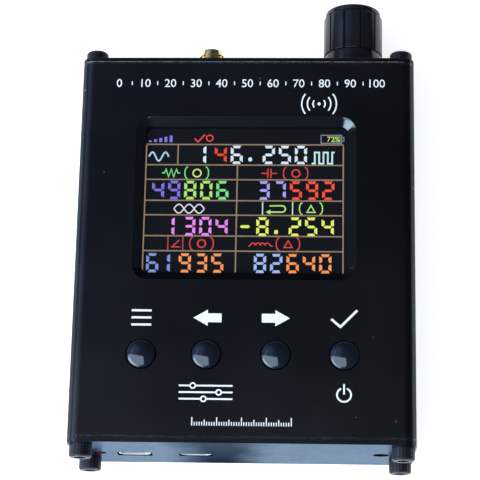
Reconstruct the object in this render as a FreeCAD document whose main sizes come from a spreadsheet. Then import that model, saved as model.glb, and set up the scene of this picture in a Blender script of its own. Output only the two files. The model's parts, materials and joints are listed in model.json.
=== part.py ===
import FreeCAD, Part
import math
import os
import Sketcher

# Handheld antenna analyzer in a split aluminium case, lying on its back.
# Millimetres. +Z points out of the front face, +Y towards the knob and the antenna jack, and the
# origin is the centre of the back face.

document = FreeCAD.newDocument("AntennaAnalyzer")
sheet = document.addObject("Spreadsheet::Sheet", "Sizes")
sub_parts = {}
OUT = FreeCAD.Vector(0, 0, 1)


class Size:
    # A length that carries its value and the spreadsheet expression it comes from.
    def __init__(self, value, text):
        self.value = value
        self.text = text

    def combine(self, other, sign, result):
        return Size(result, f"({self.text} {sign} {as_size(other).text})")

    def __add__(self, other):
        return self.combine(other, "+", self.value + as_size(other).value)

    def __sub__(self, other):
        return self.combine(other, "-", self.value - as_size(other).value)

    def __mul__(self, other):
        return self.combine(other, "*", self.value * as_size(other).value)

    def __truediv__(self, other):
        return self.combine(other, "/", self.value / as_size(other).value)

    def __neg__(self):
        return Size(-self.value, f"(0 - {self.text})")

    def root(self):
        return Size(math.sqrt(self.value), f"sqrt({self.text})")


def as_size(number):
    return number if isinstance(number, Size) else Size(number, str(number))


def driving(alias, value, meaning):
    # One line of the spreadsheet: its name, its value and what it measures.
    line = driving.line
    driving.line += 1
    sheet.set(f"A{line}", meaning)
    sheet.set(f"B{line}", str(value))
    sheet.setAlias(f"B{line}", alias)
    return Size(value, f"{sheet.Name}.{alias}")


driving.line = 1

# Case
case_width = driving("caseWidth", 83, "case across X")
shell_length = driving("shellLength", 95, "extrusion along Y, without its end plates")
case_depth = driving("caseDepth", 29, "case from back to front")
case_corner = driving("caseCorner", 3, "radius of the case's long edges")
inner_corner = driving("innerCorner", 1, "radius inside the long edges")
front_wall = driving("frontWall", 2.4, "front wall")
back_wall = driving("backWall", 2, "back wall")
side_wall = driving("sideWall", 2, "side walls")
split_height = driving("splitHeight", 15, "height of the joint between the covers")
tongue_height = driving("tongueHeight", 1.2, "front cover's tongue below the joint")
tongue_width = driving("tongueWidth", 0.9, "front cover's tongue across the wall")
close_fit = driving("closeFit", 0.05, "gap of a close fit, each side")
plate_thickness = driving("plateThickness", 1.2, "end plates")
screw_across = driving("screwAcross", 38.4, "case screws from the middle, along X")
screw_low = driving("screwLow", 5, "back row of case screws above the back face")
screw_high = driving("screwHigh", 24, "front row of case screws above the back face")
channel_radius = driving("channelRadius", 2.8, "outside of a screw channel")
channel_bore = driving("channelBore", 1.5, "bore of a screw channel")
channel_slit = driving("channelSlit", 1.4, "slit along a screw channel")
screw_clearance = driving("screwClearance", 1.7, "radius of the end plates' screw holes")

# Case screws, M3 with a hexagon socket
screw_head_radius = driving("screwHeadRadius", 2.75, "M3 cap head")
screw_head_height = driving("screwHeadHeight", 3, "M3 cap head")
screw_shank_radius = driving("screwShankRadius", 1.45, "M3 shank")
screw_shank_length = driving("screwShankLength", 8, "M3 shank")
screw_socket = driving("screwSocket", 2.5, "hexagon socket across its flats")
screw_socket_depth = driving("screwSocketDepth", 1.5, "hexagon socket")

# Display window
window_y = driving("windowY", 12.1, "middle of the window")
window_width = driving("windowWidth", 50, "clear opening")
window_height = driving("windowHeight", 37.6, "clear opening")
window_corner = driving("windowCorner", 1.5, "corner of the clear opening")
bevel_width = driving("bevelWidth", 2.1, "bevel around the window")
bevel_depth = driving("bevelDepth", 1.9, "bevel around the window")
bevel_corner = driving("bevelCorner", 3.6, "outer corner of the bevel")

# Display
glass_gap = driving("glassGap", 0.5, "front wall's inside down to the glass")
glass_left = driving("glassLeft", -28, "left edge of the glass")
glass_width = driving("glassWidth", 60.3, "glass with its tail ledge")
glass_y = driving("glassY", 11.96, "middle of the glass")
glass_height = driving("glassHeight", 42.7, "glass along Y")
glass_thickness = driving("glassThickness", 1, "glass")
tail_ledge = driving("tailLedge", 2.5, "ledge that carries the tail")
backlight_thickness = driving("backlightThickness", 1.3, "backlight")
flex_thickness = driving("flexThickness", 0.2, "display's flexible tail")
flex_width = driving("flexWidth", 24, "display's flexible tail along Y")
flex_gap = driving("flexGap", 0.3, "backlight to the tail's end")
carrier_rail = driving("carrierRail", 4, "carrier's rails")
carrier_corner = driving("carrierCorner", 1, "carrier's corners")

# Boards
board_thickness = driving("boardThickness", 1.6, "both circuit boards")
main_board_low = driving("mainBoardLow", 8.6, "underside of the main board")
main_board_gap = driving("mainBoardGap", 0.2, "board edge to the case's wall")
rib_depth = driving("ribDepth", 1.6, "board guide ribs")
rib_thickness = driving("ribThickness", 1, "board guide ribs")
standoff_length = driving("standoffLength", 9, "pillars between the boards")
standoff_flats = driving("standoffFlats", 4.5, "pillars across their flats")
standoff_x = driving("standoffX", 32.2, "pillars from the middle")
standoff_top_y = driving("standoffTopY", 35.6, "pillars near the knob")
standoff_low_y = driving("standoffLowY", -33.5, "pillars near the sockets")
small_screw_radius = driving("smallScrewRadius", 1.2, "M2.5 shank")
small_bore = driving("smallBore", 1.25, "M2.5 holes")
small_head_radius = driving("smallHeadRadius", 2.2, "M2.5 pan head")
small_head_height = driving("smallHeadHeight", 1.6, "M2.5 pan head")
small_screw_reach = driving("smallScrewReach", 5.6, "M2.5 shank with the board")
front_board_half = driving("frontBoardHalf", 35.4, "half of the front board along X")
front_board_low_y = driving("frontBoardLowY", -37, "front board's lower edge")
front_board_top_y = driving("frontBoardTopY", 38.4, "front board's upper edge")
front_board_corner = driving("frontBoardCorner", 1.5, "front board's corners")
notch_gap = driving("notchGap", 0.6, "main board's notch around the encoder")
notch_corner = driving("notchCorner", 1, "main board's notch")

# Link between the boards
pin_count = 10
pin_pitch = driving("pinPitch", 2.54, "header pins")
pin_side = driving("pinSide", 0.6, "header pins across")
pin_reach = driving("pinReach", 4.5, "header pins below their strip")
link_y = driving("linkY", -19, "middle of the link")
link_depth = driving("linkDepth", 2.5, "header and socket along Y")
link_strip = driving("linkStrip", 2.5, "height of the header's strip")
link_end = driving("linkEnd", 0.6, "end wall of the socket")
link_slot = driving("linkSlot", 0.8, "slot in the socket along Y")
link_slot_depth = driving("linkSlotDepth", 5, "slot in the socket")

# Shield over the radio circuit
shield_left = driving("shieldLeft", -27, "left side")
shield_right = driving("shieldRight", 7, "right side")
shield_near = driving("shieldNear", 12, "side towards the buttons")
shield_far = driving("shieldFar", 44, "side towards the jack")
shield_height = driving("shieldHeight", 7.5, "above the board")
shield_corner = driving("shieldCorner", 0.8, "outer corners")

# Buttons
menu_x = driving("menuX", -24.23, "menu button")
left_x = driving("leftX", -8.62, "left button")
right_x = driving("rightX", 7.97, "right button")
ok_x = driving("okX", 24.33, "OK button")
button_y = driving("buttonY", -27.4, "row of buttons")
button_hole = driving("buttonHole", 3.65, "radius of the holes in the front cover")
button_radius = driving("buttonRadius", 3.4, "cap")
button_edge = driving("buttonEdge", 0.5, "edge of the dome above the front face")
button_dome = driving("buttonDome", 1.2, "rise of the dome")
button_flange = driving("buttonFlange", 4.4, "radius of the cap's flange")
button_flange_low = driving("buttonFlangeLow", 25.2, "underside of the flange")
button_flange_thickness = driving("buttonFlangeThickness", 1.1, "flange")
switch_side = driving("switchSide", 6, "tact switch body")
switch_height = driving("switchHeight", 3.5, "tact switch body")
switch_plunger = driving("switchPlunger", 1.75, "radius of a tact switch's plunger")
switch_well = driving("switchWell", 1.6, "depth of a tact switch's well")
switch_well_gap = driving("switchWellGap", 0.15, "gap around the plunger")
plunger_gap = driving("plungerGap", 0.5, "plunger above the bottom of its well")

# Antenna jack
jack_x = driving("jackX", -10, "axis of the jack")
jack_z = driving("jackZ", 14.5, "axis of the jack")
jack_thread = driving("jackThread", 3.175, "radius of the jack's thread, 1/4 inch")
jack_tip_radius = driving("jackTipRadius", 2.7, "plain tip")
jack_tip_length = driving("jackTipLength", 0.6, "plain tip")
jack_reach = driving("jackReach", 7.3, "jack beyond the end plate")
jack_bore = driving("jackBore", 2.1, "bore of the jack")
jack_flats = driving("jackFlats", 8, "hexagon flange and nut across their flats")
jack_flange = driving("jackFlange", 2, "flange inside the plate")
jack_tail = driving("jackTail", 2.7, "tail behind the flange")
jack_tail_radius = driving("jackTailRadius", 2.5, "tail behind the flange")
relief_radius = driving("reliefRadius", 2.85, "thread relief outside the nut")
relief_width = driving("reliefWidth", 0.5, "thread relief outside the nut")
contact_radius = driving("contactRadius", 0.635, "centre contact")
contact_bore = driving("contactBore", 0.47, "socket in the centre contact")
contact_recess = driving("contactRecess", 0.1, "contact and insulator below the tip")
contact_socket = driving("contactSocket", 3, "depth of the socket in the centre contact")
contact_tail = driving("contactTail", 2, "centre contact behind the jack's tail")
jack_washer = driving("jackWasher", 4.4, "radius of the jack's washer")
washer_thickness = driving("washerThickness", 0.5, "both washers")
nut_height = driving("nutHeight", 2, "both nuts")

# Shaft encoder and knob
knob_x = driving("knobX", 26.5, "axis of the knob")
knob_z = driving("knobZ", 14.5, "axis of the knob")
knob_gap = driving("knobGap", 1.2, "knob above the end plate")
knob_length = driving("knobLength", 16.9, "knob with its cap")
knob_radius = driving("knobRadius", 7.5, "fluted body")
skirt_radius = driving("skirtRadius", 7.25, "skirt")
skirt_length = driving("skirtLength", 4.7, "skirt")
knob_recess_radius = driving("knobRecessRadius", 6.3, "recess over the nut")
knob_recess_depth = driving("knobRecessDepth", 3.6, "recess over the nut")
cap_radius = driving("capRadius", 7.1, "knob's cap")
cap_height = driving("capHeight", 1.9, "knob's cap")
cap_edge = driving("capEdge", 0.7, "rounded edge of the cap")
cap_spigot_radius = driving("capSpigotRadius", 4.5, "spigot under the cap")
cap_spigot_length = driving("capSpigotLength", 1.5, "spigot under the cap")
flute_count = driving("fluteCount", 11, "grooves around the knob")
flute_depth = driving("fluteDepth", 0.4, "grooves around the knob")
flute_width = driving("fluteWidth", 0.6, "grooves around the knob")
flute_turn = driving("fluteTurn", 14.4, "first groove's angle from the front, in degrees")
encoder_side = driving("encoderSide", 12, "encoder body")
encoder_plate = driving("encoderPlate", 0.8, "encoder's front plate")
encoder_depth = driving("encoderDepth", 5.7, "encoder housing behind its plate")
bushing_radius = driving("bushingRadius", 3.5, "M7 bushing")
bushing_length = driving("bushingLength", 5, "M7 bushing")
nut_flats = driving("nutFlats", 10, "M7 nut across its flats")
washer_radius = driving("washerRadius", 5.75, "M7 washer")
shaft_radius = driving("shaftRadius", 3, "shaft")
shaft_flat = driving("shaftFlat", 1.5, "flat from the shaft's axis")
shaft_reach = driving("shaftReach", 15, "shaft beyond the encoder's front plate")
shaft_flat_length = driving("shaftFlatLength", 9.6, "flat along the shaft")
spindle_radius = driving("spindleRadius", 2, "inner end of the shaft")
spindle_length = driving("spindleLength", 2.9, "inner end of the shaft")
rotor_radius = driving("rotorRadius", 5, "contact disc")
rotor_thickness = driving("rotorThickness", 1.4, "contact disc")
push_radius = driving("pushRadius", 1.7, "push plunger")
push_length = driving("pushLength", 1, "push plunger")
push_gap = driving("pushGap", 0.4, "gap around the push plunger")
encoder_corner = driving("encoderCorner", 0.6, "corners of the encoder body")
encoder_floor = driving("encoderFloor", 0.8, "floor of the encoder housing")
rotor_gap = driving("rotorGap", 0.3, "gap around the contact disc")
rotor_drop = driving("rotorDrop", 0.7, "contact disc behind the shaft's shoulder")
rotor_fit = driving("rotorFit", 0.1, "gap between the disc and the spindle")
shoulder_drop = driving("shoulderDrop", 0.4, "shaft's shoulder behind the front plate")

# Sockets, light and reset switch on the lower edge
sheet_metal = driving("sheetMetal", 0.35, "socket shells and shield")
socket_recess = driving("socketRecess", 0.2, "socket mouths behind the plate's face")
socket_side_gap = driving("socketSideGap", 0.4, "plate's cut-out beside a socket")
socket_high_gap = driving("socketHighGap", 0.3, "plate's cut-out above and below a socket")
socket_corner = driving("socketCorner", 0.5, "corners of the cut-outs")
tongue_block = driving("tongueBlock", 1.6, "block behind a socket's tongue")
tongue_setback = driving("tongueSetback", 1, "socket's mouth to its tongue")
slant_share = driving("slantShare", 0.6, "share of the wall at the slanted sides' lower ends")
light_x = driving("lightX", -35, "charge light")
light_z = driving("lightZ", 13.7, "charge light")
light_radius = driving("lightRadius", 1.5, "charge light")
light_hole = driving("lightHole", 1.6, "hole for the charge light")
light_proud = driving("lightProud", 0.2, "lens beyond the plate's face")
light_length = driving("lightLength", 5.3, "lens with its rim")
light_rim = driving("lightRim", 0.4, "rim beyond the lens")
light_rim_length = driving("lightRimLength", 1, "rim")
leg_side = driving("legSide", 0.5, "light's legs across")
leg_pitch = driving("legPitch", 2.54, "light's legs apart")
leg_reach = driving("legReach", 1.2, "light's legs behind the rim before they turn down")
reset_x = driving("resetX", 33.4, "reset hole")
reset_z = driving("resetZ", 14.4, "reset hole")
reset_hole = driving("resetHole", 1.9, "radius of the reset hole")
reset_plunger_radius = driving("resetPlungerRadius", 1.5, "reset plunger")
reset_plunger_length = driving("resetPlungerLength", 2.9, "reset plunger")
reset_plunger_base = driving("resetPlungerBase", 1.5, "plunger's inner end inside the switch")
reset_setback = driving("resetSetback", 2, "switch's face behind the end plate")
reset_width = driving("resetWidth", 6.2, "reset switch along X")
reset_depth = driving("resetDepth", 3.6, "reset switch along Y")
reset_height = driving("resetHeight", 7, "reset switch above the board")
reset_well = driving("resetWell", 2, "well for the reset plunger")

# Battery
battery_width = driving("batteryWidth", 50, "battery cell")
battery_length = driving("batteryLength", 60, "battery cell")
battery_thickness = driving("batteryThickness", 5.6, "battery cell")
battery_y = driving("batteryY", 6, "middle of the battery cell")
battery_corner = driving("batteryCorner", 2, "battery cell")
foam_thickness = driving("foamThickness", 0.4, "battery's foam pad")
foam_side = driving("foamSide", 3, "foam pad inside the cell's sides")
foam_end = driving("foamEnd", 4, "foam pad inside the cell's ends")
plug_x = driving("plugX", 11.5, "middle of the battery plug")
plug_y = driving("plugY", -32, "mouth of the battery socket")
plug_socket_width = driving("plugSocketWidth", 7, "battery socket along X")
plug_socket_depth = driving("plugSocketDepth", 3, "battery socket along Y")
plug_socket_height = driving("plugSocketHeight", 3.8, "battery socket below the board")
plug_wall = driving("plugWall", 0.6, "walls of the battery socket")
plug_mouth = driving("plugMouth", 2.4, "depth of the battery socket's mouth")
plug_length = driving("plugLength", 3.95, "battery plug")
wire_radius = driving("wireRadius", 0.6, "battery wires")
wire_pitch = driving("wirePitch", 2, "battery wires apart")

past_edge = driving("pastEdge", 0.1, "cuts beyond the surface they end at")


def sizes_of(name, **sizes):
    # Named sizes of one piece, each a line of the spreadsheet.
    return {key: driving(f"{name}_{key}", value, f"{name}, {key}") for key, value in sizes.items()}


# Sockets, seen from their mouths
SOCKETS = {
    "mini": sizes_of("mini", x=-26.55, half_wide=3.85, half_narrow=2.85, height=3.95, waist=1.5,
                     depth=9, half_tongue=2.3, tongue_low=1.9, tongue_high=2.7),
    "micro": sizes_of("micro", x=-11.55, half_wide=3.75, half_narrow=2.65, height=2.6, waist=1.3,
                      depth=5.6, half_tongue=1.9, tongue_low=1.35, tongue_high=1.85),
}

# Chips on the main board, by their middles
CHIPS = {
    "rf_chip": sizes_of("rf", x=-10.5, y=25.5, width=7, length=7, height=0.9),
    "controller_chip": sizes_of("controller", x=20, y=-1, width=10, length=10, height=1.4),
    "charger_chip": sizes_of("charger", x=-18.5, y=-32, width=5, length=4, height=1.5),
    "power_coil": sizes_of("coil", x=-9, y=-30, width=6, length=6, height=3),
}
coil_corner = driving("coilCorner", 1.2, "power coil")

BUTTONS = {"menu": menu_x, "left": left_x, "right": right_x, "ok": ok_x}

document.recompute()

# Levels that several pieces share
half_width = case_width / 2
inner_half = half_width - side_wall
half_length = shell_length / 2
front_inside = case_depth - front_wall
plate_face = half_length + plate_thickness
main_board_top = main_board_low + board_thickness
front_board_low = main_board_top + standoff_length
front_board_top = front_board_low + board_thickness
glass_top = front_inside - glass_gap
glass_low = glass_top - glass_thickness
backlight_low = glass_low - backlight_thickness
display_end = glass_left + glass_width
backlight_end = display_end - tail_ledge


def bind(item, name, size):
    item.setExpression(name, as_size(size).text)


def new_body(name, x=0, y=0, z=0):
    # An empty body, labelled as its sub-part and placed in the case.
    body = document.addObject("PartDesign::Body", name)
    register(body, name)
    place(body, x, y, z)
    return body


def register(item, name):
    item.Label = name
    sub_parts[name] = item


def place(item, x, y, z):
    bind(item, "Placement.Base.x", x)
    bind(item, "Placement.Base.y", y)
    bind(item, "Placement.Base.z", z)


def new_sketch(body, plane, offset=0):
    # A sketch on one of the body's origin planes, moved along that plane's normal.
    sketch = body.newObject("Sketcher::SketchObject", "Sketch")
    support = next(item for item in body.Origin.OriginFeatures if item.Role == plane)
    sketch.AttachmentSupport = [(support, "")]
    sketch.MapMode = "FlatFace"
    bind(sketch, "AttachmentOffset.Base.z", offset)
    return sketch


def pin(sketch, geometry, point, x, y):
    for kind, size in (("DistanceX", as_size(x)), ("DistanceY", as_size(y))):
        rule = Sketcher.Constraint(kind, -1, 1, geometry, point, size.value)
        index = sketch.addConstraint(rule)
        bind(sketch, f"Constraints[{index}]", size)


def set_radius(sketch, geometry, radius):
    index = sketch.addConstraint(Sketcher.Constraint("Radius", geometry, as_size(radius).value))
    bind(sketch, f"Constraints[{index}]", radius)


def circle(sketch, x, y, radius):
    centre = FreeCAD.Vector(as_size(x).value, as_size(y).value, 0)
    geometry = sketch.addGeometry(Part.Circle(centre, OUT, as_size(radius).value))
    pin(sketch, geometry, 3, x, y)
    set_radius(sketch, geometry, radius)


def point_of(pair):
    return FreeCAD.Vector(as_size(pair[0]).value, as_size(pair[1]).value, 0)


def add_arc(sketch, centre, first, last, turn):
    # An arc from first to last, anticlockwise when turn is 1. Gives its own start and end.
    start, end = (first, last) if turn > 0 else (last, first)
    from_start = point_of(start) - point_of(centre)
    from_end = point_of(end) - point_of(centre)
    begin = math.atan2(from_start.y, from_start.x)
    finish = math.atan2(from_end.y, from_end.x)
    if finish <= begin:
        finish += 2 * math.pi
    ring = Part.Circle(point_of(centre), OUT, from_start.Length)
    return sketch.addGeometry(Part.ArcOfCircle(ring, begin, finish))


def pin_centre(sketch, geometry, centre, start, end):
    # The ends of an arc are held, so one coordinate settles its centre.
    chord = point_of(end) - point_of(start)
    upright = abs(chord.y) > abs(chord.x)
    kind, size = ("DistanceX", centre[0]) if upright else ("DistanceY", centre[1])
    rule = Sketcher.Constraint(kind, -1, 1, geometry, 3, as_size(size).value)
    index = sketch.addConstraint(rule)
    bind(sketch, f"Constraints[{index}]", size)


def step_towards(corner, other):
    # Unit step from a corner along the axis that leads to the next corner.
    reach = point_of(other) - point_of(corner)
    if abs(reach.x) > abs(reach.y):
        return (math.copysign(1, reach.x), 0)
    return (0, math.copysign(1, reach.y))


def moved(corner, step, distance):
    return (as_size(corner[0]) + distance * step[0], as_size(corner[1]) + distance * step[1])


def outline(sketch, corners, arcs=None):
    # A closed outline. A corner given as (x, y, radius) is rounded where square sides meet. A
    # side in arcs, counted from its first corner, is an arc: (centre, turn).
    arcs = arcs or {}
    count = len(corners)
    entries = []
    exits = []
    joints = {}
    for index, corner in enumerate(corners):
        if len(corner) == 2:
            entries.append(corner)
            exits.append(corner)
            continue
        back = step_towards(corner, corners[index - 1])
        ahead = step_towards(corner, corners[(index + 1) % count])
        radius = corner[2]
        entries.append(moved(corner, back, radius))
        exits.append(moved(corner, ahead, radius))
        centre = moved(moved(corner, back, radius), ahead, radius)
        turn = 1 if back[1] * ahead[0] - back[0] * ahead[1] > 0 else -1
        joints[index] = (centre, radius, turn)
    sides = []
    for index in range(count):
        start, end = exits[index], entries[(index + 1) % count]
        if index in arcs:
            centre, turn = arcs[index]
            geometry = add_arc(sketch, centre, start, end, turn)
            ends = (1, 2) if turn > 0 else (2, 1)
            pin_centre(sketch, geometry, centre, start, end)
        else:
            geometry = sketch.addGeometry(Part.LineSegment(point_of(start), point_of(end)))
            ends = (1, 2)
        pin(sketch, geometry, ends[0], *start)
        sides.append((geometry, ends))
    for index in range(count):
        geometry, ends = sides[index]
        following = (index + 1) % count
        next_geometry, next_ends = sides[following]
        if following not in joints:
            rule = ("Coincident", geometry, ends[1], next_geometry, next_ends[0])
            sketch.addConstraint(Sketcher.Constraint(*rule))
            continue
        centre, radius, turn = joints[following]
        pin(sketch, geometry, ends[1], *entries[following])
        arc = add_arc(sketch, centre, entries[following], exits[following], turn)
        arc_ends = (1, 2) if turn > 0 else (2, 1)
        set_radius(sketch, arc, radius)
        rule = ("Coincident", geometry, ends[1], arc, arc_ends[0])
        sketch.addConstraint(Sketcher.Constraint(*rule))
        rule = ("Coincident", arc, arc_ends[1], next_geometry, next_ends[0])
        sketch.addConstraint(Sketcher.Constraint(*rule))


def rectangle(sketch, left, right, low, high, radius=None):
    corners = [(left, low), (right, low), (right, high), (left, high)]
    if radius is not None:
        corners = [(x, y, radius) for x, y in corners]
    outline(sketch, corners)


def hexagon(sketch, flats):
    # A hexagon around the sketch's origin with two flats across its height.
    flat = as_size(flats) / 2
    half_side = flat / round(math.sqrt(3), 6)
    point = half_side * 2
    outline(sketch, [(point, 0), (half_side, flat), (-half_side, flat),
                     (-point, 0), (-half_side, -flat), (half_side, -flat)])


def d_outline(sketch, radius, flat):
    # A circle with a flat across its upper side.
    half_flat = (radius * radius - flat * flat).root()
    outline(sketch, [(half_flat, flat), (-half_flat, flat)], {1: ((0, 0), 1)})


def pad(body, sketch, length, reverse=False, both_ways=False):
    feature = body.newObject("PartDesign::Pad", "Pad")
    feature.Profile = sketch
    feature.Reversed = reverse
    if both_ways:
        feature.SideType = "Symmetric"
    bind(feature, "Length", length)
    document.recompute()
    return feature


def pocket(body, sketch, length, reverse=False):
    # A pocket cuts against its sketch's normal, or along it when reversed.
    before = body.Shape.Volume
    feature = body.newObject("PartDesign::Pocket", "Pocket")
    feature.Profile = sketch
    feature.Reversed = reverse
    bind(feature, "Length", length)
    document.recompute()
    check_cut(body, before)
    return feature


def check_cut(body, before):
    if body.Shape.Volume > before - 1e-4:
        raise ValueError(f"a cut in {body.Label} removes nothing")


def revolve(body, corners, arcs=None, plane="XY_Plane"):
    # A full turn of an outline of (radius, height) around the sketch's vertical axis.
    sketch = new_sketch(body, plane)
    outline(sketch, corners, arcs)
    feature = body.newObject("PartDesign::Revolution", "Revolution")
    feature.Profile = sketch
    feature.ReferenceAxis = (sketch, ["V_Axis"])
    feature.Angle = 360
    document.recompute()
    return feature


def block(name, x_range, y_range, z_range, radius=None):
    # A block in a body of its own, rounded at its upright edges where a radius is given.
    body = new_body(name)
    sketch = new_sketch(body, "XY_Plane", z_range[0])
    rectangle(sketch, x_range[0], x_range[1], y_range[0], y_range[1], radius)
    pad(body, sketch, as_size(z_range[1]) - z_range[0])
    return body


def repeated(name, model, places):
    # One sub-part made of separate copies of a model, each at (x, y, z, turn about an axis).
    copies = []
    for x, y, z, rotation in places:
        copy = document.addObject("App::Link", model.Label + "_copy")
        copy.LinkedObject = model
        copy.Placement = FreeCAD.Placement(FreeCAD.Vector(), rotation)
        place(copy, x, y, z)
        copies.append(copy)
    group = document.addObject("Part::Compound", name)
    group.Links = copies
    register(group, name)
    document.recompute()
    return group


def model_body(name):
    # A body that is only copied by other sub-parts.
    return document.addObject("PartDesign::Body", name)


AHEAD = FreeCAD.Rotation()
TURNED = FreeCAD.Rotation(OUT, 180)
UPSIDE_DOWN = FreeCAD.Rotation(FreeCAD.Vector(1, 0, 0), 180)


# ---- Case ----

def screw_channels(body, height):
    # Two channels along the case, open to the inside through a slit.
    walls = new_sketch(body, "XZ_Plane")
    for side in (-1, 1):
        circle(walls, screw_across * side, height, channel_radius)
    pad(body, walls, shell_length, both_ways=True)
    bores = new_sketch(body, "XZ_Plane", half_length)
    for side in (-1, 1):
        circle(bores, screw_across * side, height, channel_bore)
    pocket(body, bores, shell_length)
    slits = new_sketch(body, "XZ_Plane", half_length)
    inner_edge = screw_across - channel_radius - close_fit
    for side in (-1, 1):
        ends = sorted((inner_edge * side, screw_across * side), key=lambda size: size.value)
        rectangle(slits, ends[0], ends[1], height - channel_slit / 2, height + channel_slit / 2)
    pocket(body, slits, shell_length)


def front_cover():
    body = new_body("front_cover")
    section = new_sketch(body, "XZ_Plane")
    tongue_end = split_height - tongue_height
    tongue_face = inner_half + tongue_width
    right = [(half_width, split_height), (half_width, case_depth, case_corner)]
    left = [(-half_width, case_depth, case_corner), (-half_width, split_height)]
    left_tongue = [(-tongue_face, split_height), (-tongue_face, tongue_end),
                   (-inner_half, tongue_end)]
    ceiling = [(-inner_half, front_inside, inner_corner), (inner_half, front_inside, inner_corner)]
    right_tongue = [(inner_half, tongue_end), (tongue_face, tongue_end),
                    (tongue_face, split_height)]
    outline(section, right + left + left_tongue + ceiling + right_tongue)
    pad(body, section, shell_length, both_ways=True)
    screw_channels(body, screw_high)
    cut_window(body)
    holes = new_sketch(body, "XY_Plane", case_depth)
    for button_x in BUTTONS.values():
        circle(holes, button_x, button_y, button_hole)
    pocket(body, holes, front_wall + past_edge)


def window_outline(sketch, margin, radius):
    half_w = window_width / 2 + margin
    half_h = window_height / 2 + margin
    rectangle(sketch, -half_w, half_w, window_y - half_h, window_y + half_h, radius)


def cut_window(body):
    # The bevel is a loft from the wide outline on the face to the clear opening.
    outer = new_sketch(body, "XY_Plane", case_depth)
    window_outline(outer, bevel_width, bevel_corner)
    inner = new_sketch(body, "XY_Plane", case_depth - bevel_depth)
    window_outline(inner, 0, window_corner)
    before = body.Shape.Volume
    bevel = body.newObject("PartDesign::SubtractiveLoft", "Bevel")
    bevel.Profile = outer
    bevel.Sections = [inner]
    document.recompute()
    check_cut(body, before)
    opening = new_sketch(body, "XY_Plane", case_depth)
    window_outline(opening, 0, window_corner)
    pocket(body, opening, front_wall + past_edge)


def back_cover():
    body = new_body("back_cover")
    section = new_sketch(body, "XZ_Plane")
    rebate_face = inner_half + tongue_width + close_fit
    rebate_floor = split_height - tongue_height - close_fit
    rib_face = inner_half - rib_depth
    slot_low = main_board_low - close_fit
    slot_top = main_board_top + close_fit
    half = [(half_width, 0, case_corner), (half_width, split_height),
            (rebate_face, split_height), (rebate_face, rebate_floor),
            (inner_half, rebate_floor), (inner_half, slot_top + rib_thickness),
            (rib_face, slot_top + rib_thickness), (rib_face, slot_top),
            (inner_half, slot_top), (inner_half, slot_low), (rib_face, slot_low),
            (rib_face, slot_low - rib_thickness), (inner_half, slot_low - rib_thickness),
            (inner_half, back_wall, inner_corner)]
    mirrored = [(-corner[0],) + corner[1:] for corner in reversed(half)]
    outline(section, half + mirrored)
    pad(body, section, shell_length, both_ways=True)
    screw_channels(body, screw_low)


def plate_outline(sketch):
    rectangle(sketch, -half_width, half_width, 0, case_depth, case_corner)
    for side in (-1, 1):
        for height in (screw_low, screw_high):
            circle(sketch, screw_across * side, height, screw_clearance)


def top_end_plate():
    body = new_body("top_end_plate")
    sketch = new_sketch(body, "XZ_Plane", -half_length)
    plate_outline(sketch)
    circle(sketch, knob_x, knob_z, bushing_radius + close_fit)
    circle(sketch, jack_x, jack_z, jack_thread + close_fit)
    pad(body, sketch, plate_thickness, reverse=True)


def bottom_end_plate():
    body = new_body("bottom_end_plate")
    sketch = new_sketch(body, "XZ_Plane", half_length)
    plate_outline(sketch)
    circle(sketch, light_x, light_z, light_hole)
    circle(sketch, reset_x, reset_z, reset_hole)
    for socket in SOCKETS.values():
        half = socket["half_wide"] + socket_side_gap
        low = main_board_top - socket_high_gap
        high = main_board_top + socket["height"] + socket_high_gap
        rectangle(sketch, socket["x"] - half, socket["x"] + half, low, high, socket_corner)
    pad(body, sketch, plate_thickness)


def cap_screw():
    # Local +Y points out of the head.
    body = model_body("cap_screw")
    head = screw_head_height
    revolve(body, [(0, -screw_shank_length), (screw_shank_radius, -screw_shank_length),
                   (screw_shank_radius, 0), (screw_head_radius, 0), (screw_head_radius, head),
                   (0, head)])
    socket = new_sketch(body, "XZ_Plane", -head)
    hexagon(socket, screw_socket)
    pocket(body, socket, screw_socket_depth, reverse=True)
    return body


def case_screws():
    screw = cap_screw()
    spots = [(side, height) for side in (-1, 1) for height in (screw_low, screw_high)]
    top = [(screw_across * side, plate_face, height, AHEAD) for side, height in spots]
    low = [(screw_across * side, -plate_face, height, TURNED) for side, height in spots]
    repeated("top_plate_screws", screw, top)
    repeated("bottom_plate_screws", screw, low)


# ---- Display ----

def display():
    low = glass_y - glass_height / 2
    high = glass_y + glass_height / 2
    block("display_glass", (glass_left, display_end), (low, high), (glass_low, glass_top))
    block("display_backlight", (glass_left, backlight_end), (low, high),
          (backlight_low, glass_low))
    carrier = block("display_carrier", (glass_left, backlight_end), (low, high),
                    (front_board_top, backlight_low), carrier_corner)
    hollow = new_sketch(carrier, "XY_Plane", backlight_low)
    rectangle(hollow, glass_left + carrier_rail, backlight_end - carrier_rail,
              low + carrier_rail, high - carrier_rail, carrier_corner)
    pocket(carrier, hollow, backlight_low - front_board_top)


def display_flex():
    # The tail leaves the glass's ledge and folds back onto the front board.
    body = new_body("display_flex")
    middle = (glass_low + front_board_top) / 2
    inside = (glass_low - front_board_top) / 2 - flex_thickness
    outside = inside + flex_thickness
    fold = display_end
    start = backlight_end + flex_gap
    sketch = new_sketch(body, "XZ_Plane", -(glass_y - flex_width / 2))
    corners = [(start, middle - outside), (fold, middle - outside), (fold, middle + outside),
               (start, middle + outside), (start, middle + inside), (fold, middle + inside),
               (fold, middle - inside), (start, middle - inside)]
    centre = (fold, middle)
    outline(sketch, corners, {1: (centre, 1), 5: (centre, -1)})
    pad(body, sketch, flex_width, reverse=True)


# ---- Boards ----

def standoff_places():
    return [(standoff_x * side, y) for side in (-1, 1) for y in (standoff_low_y, standoff_top_y)]


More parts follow.
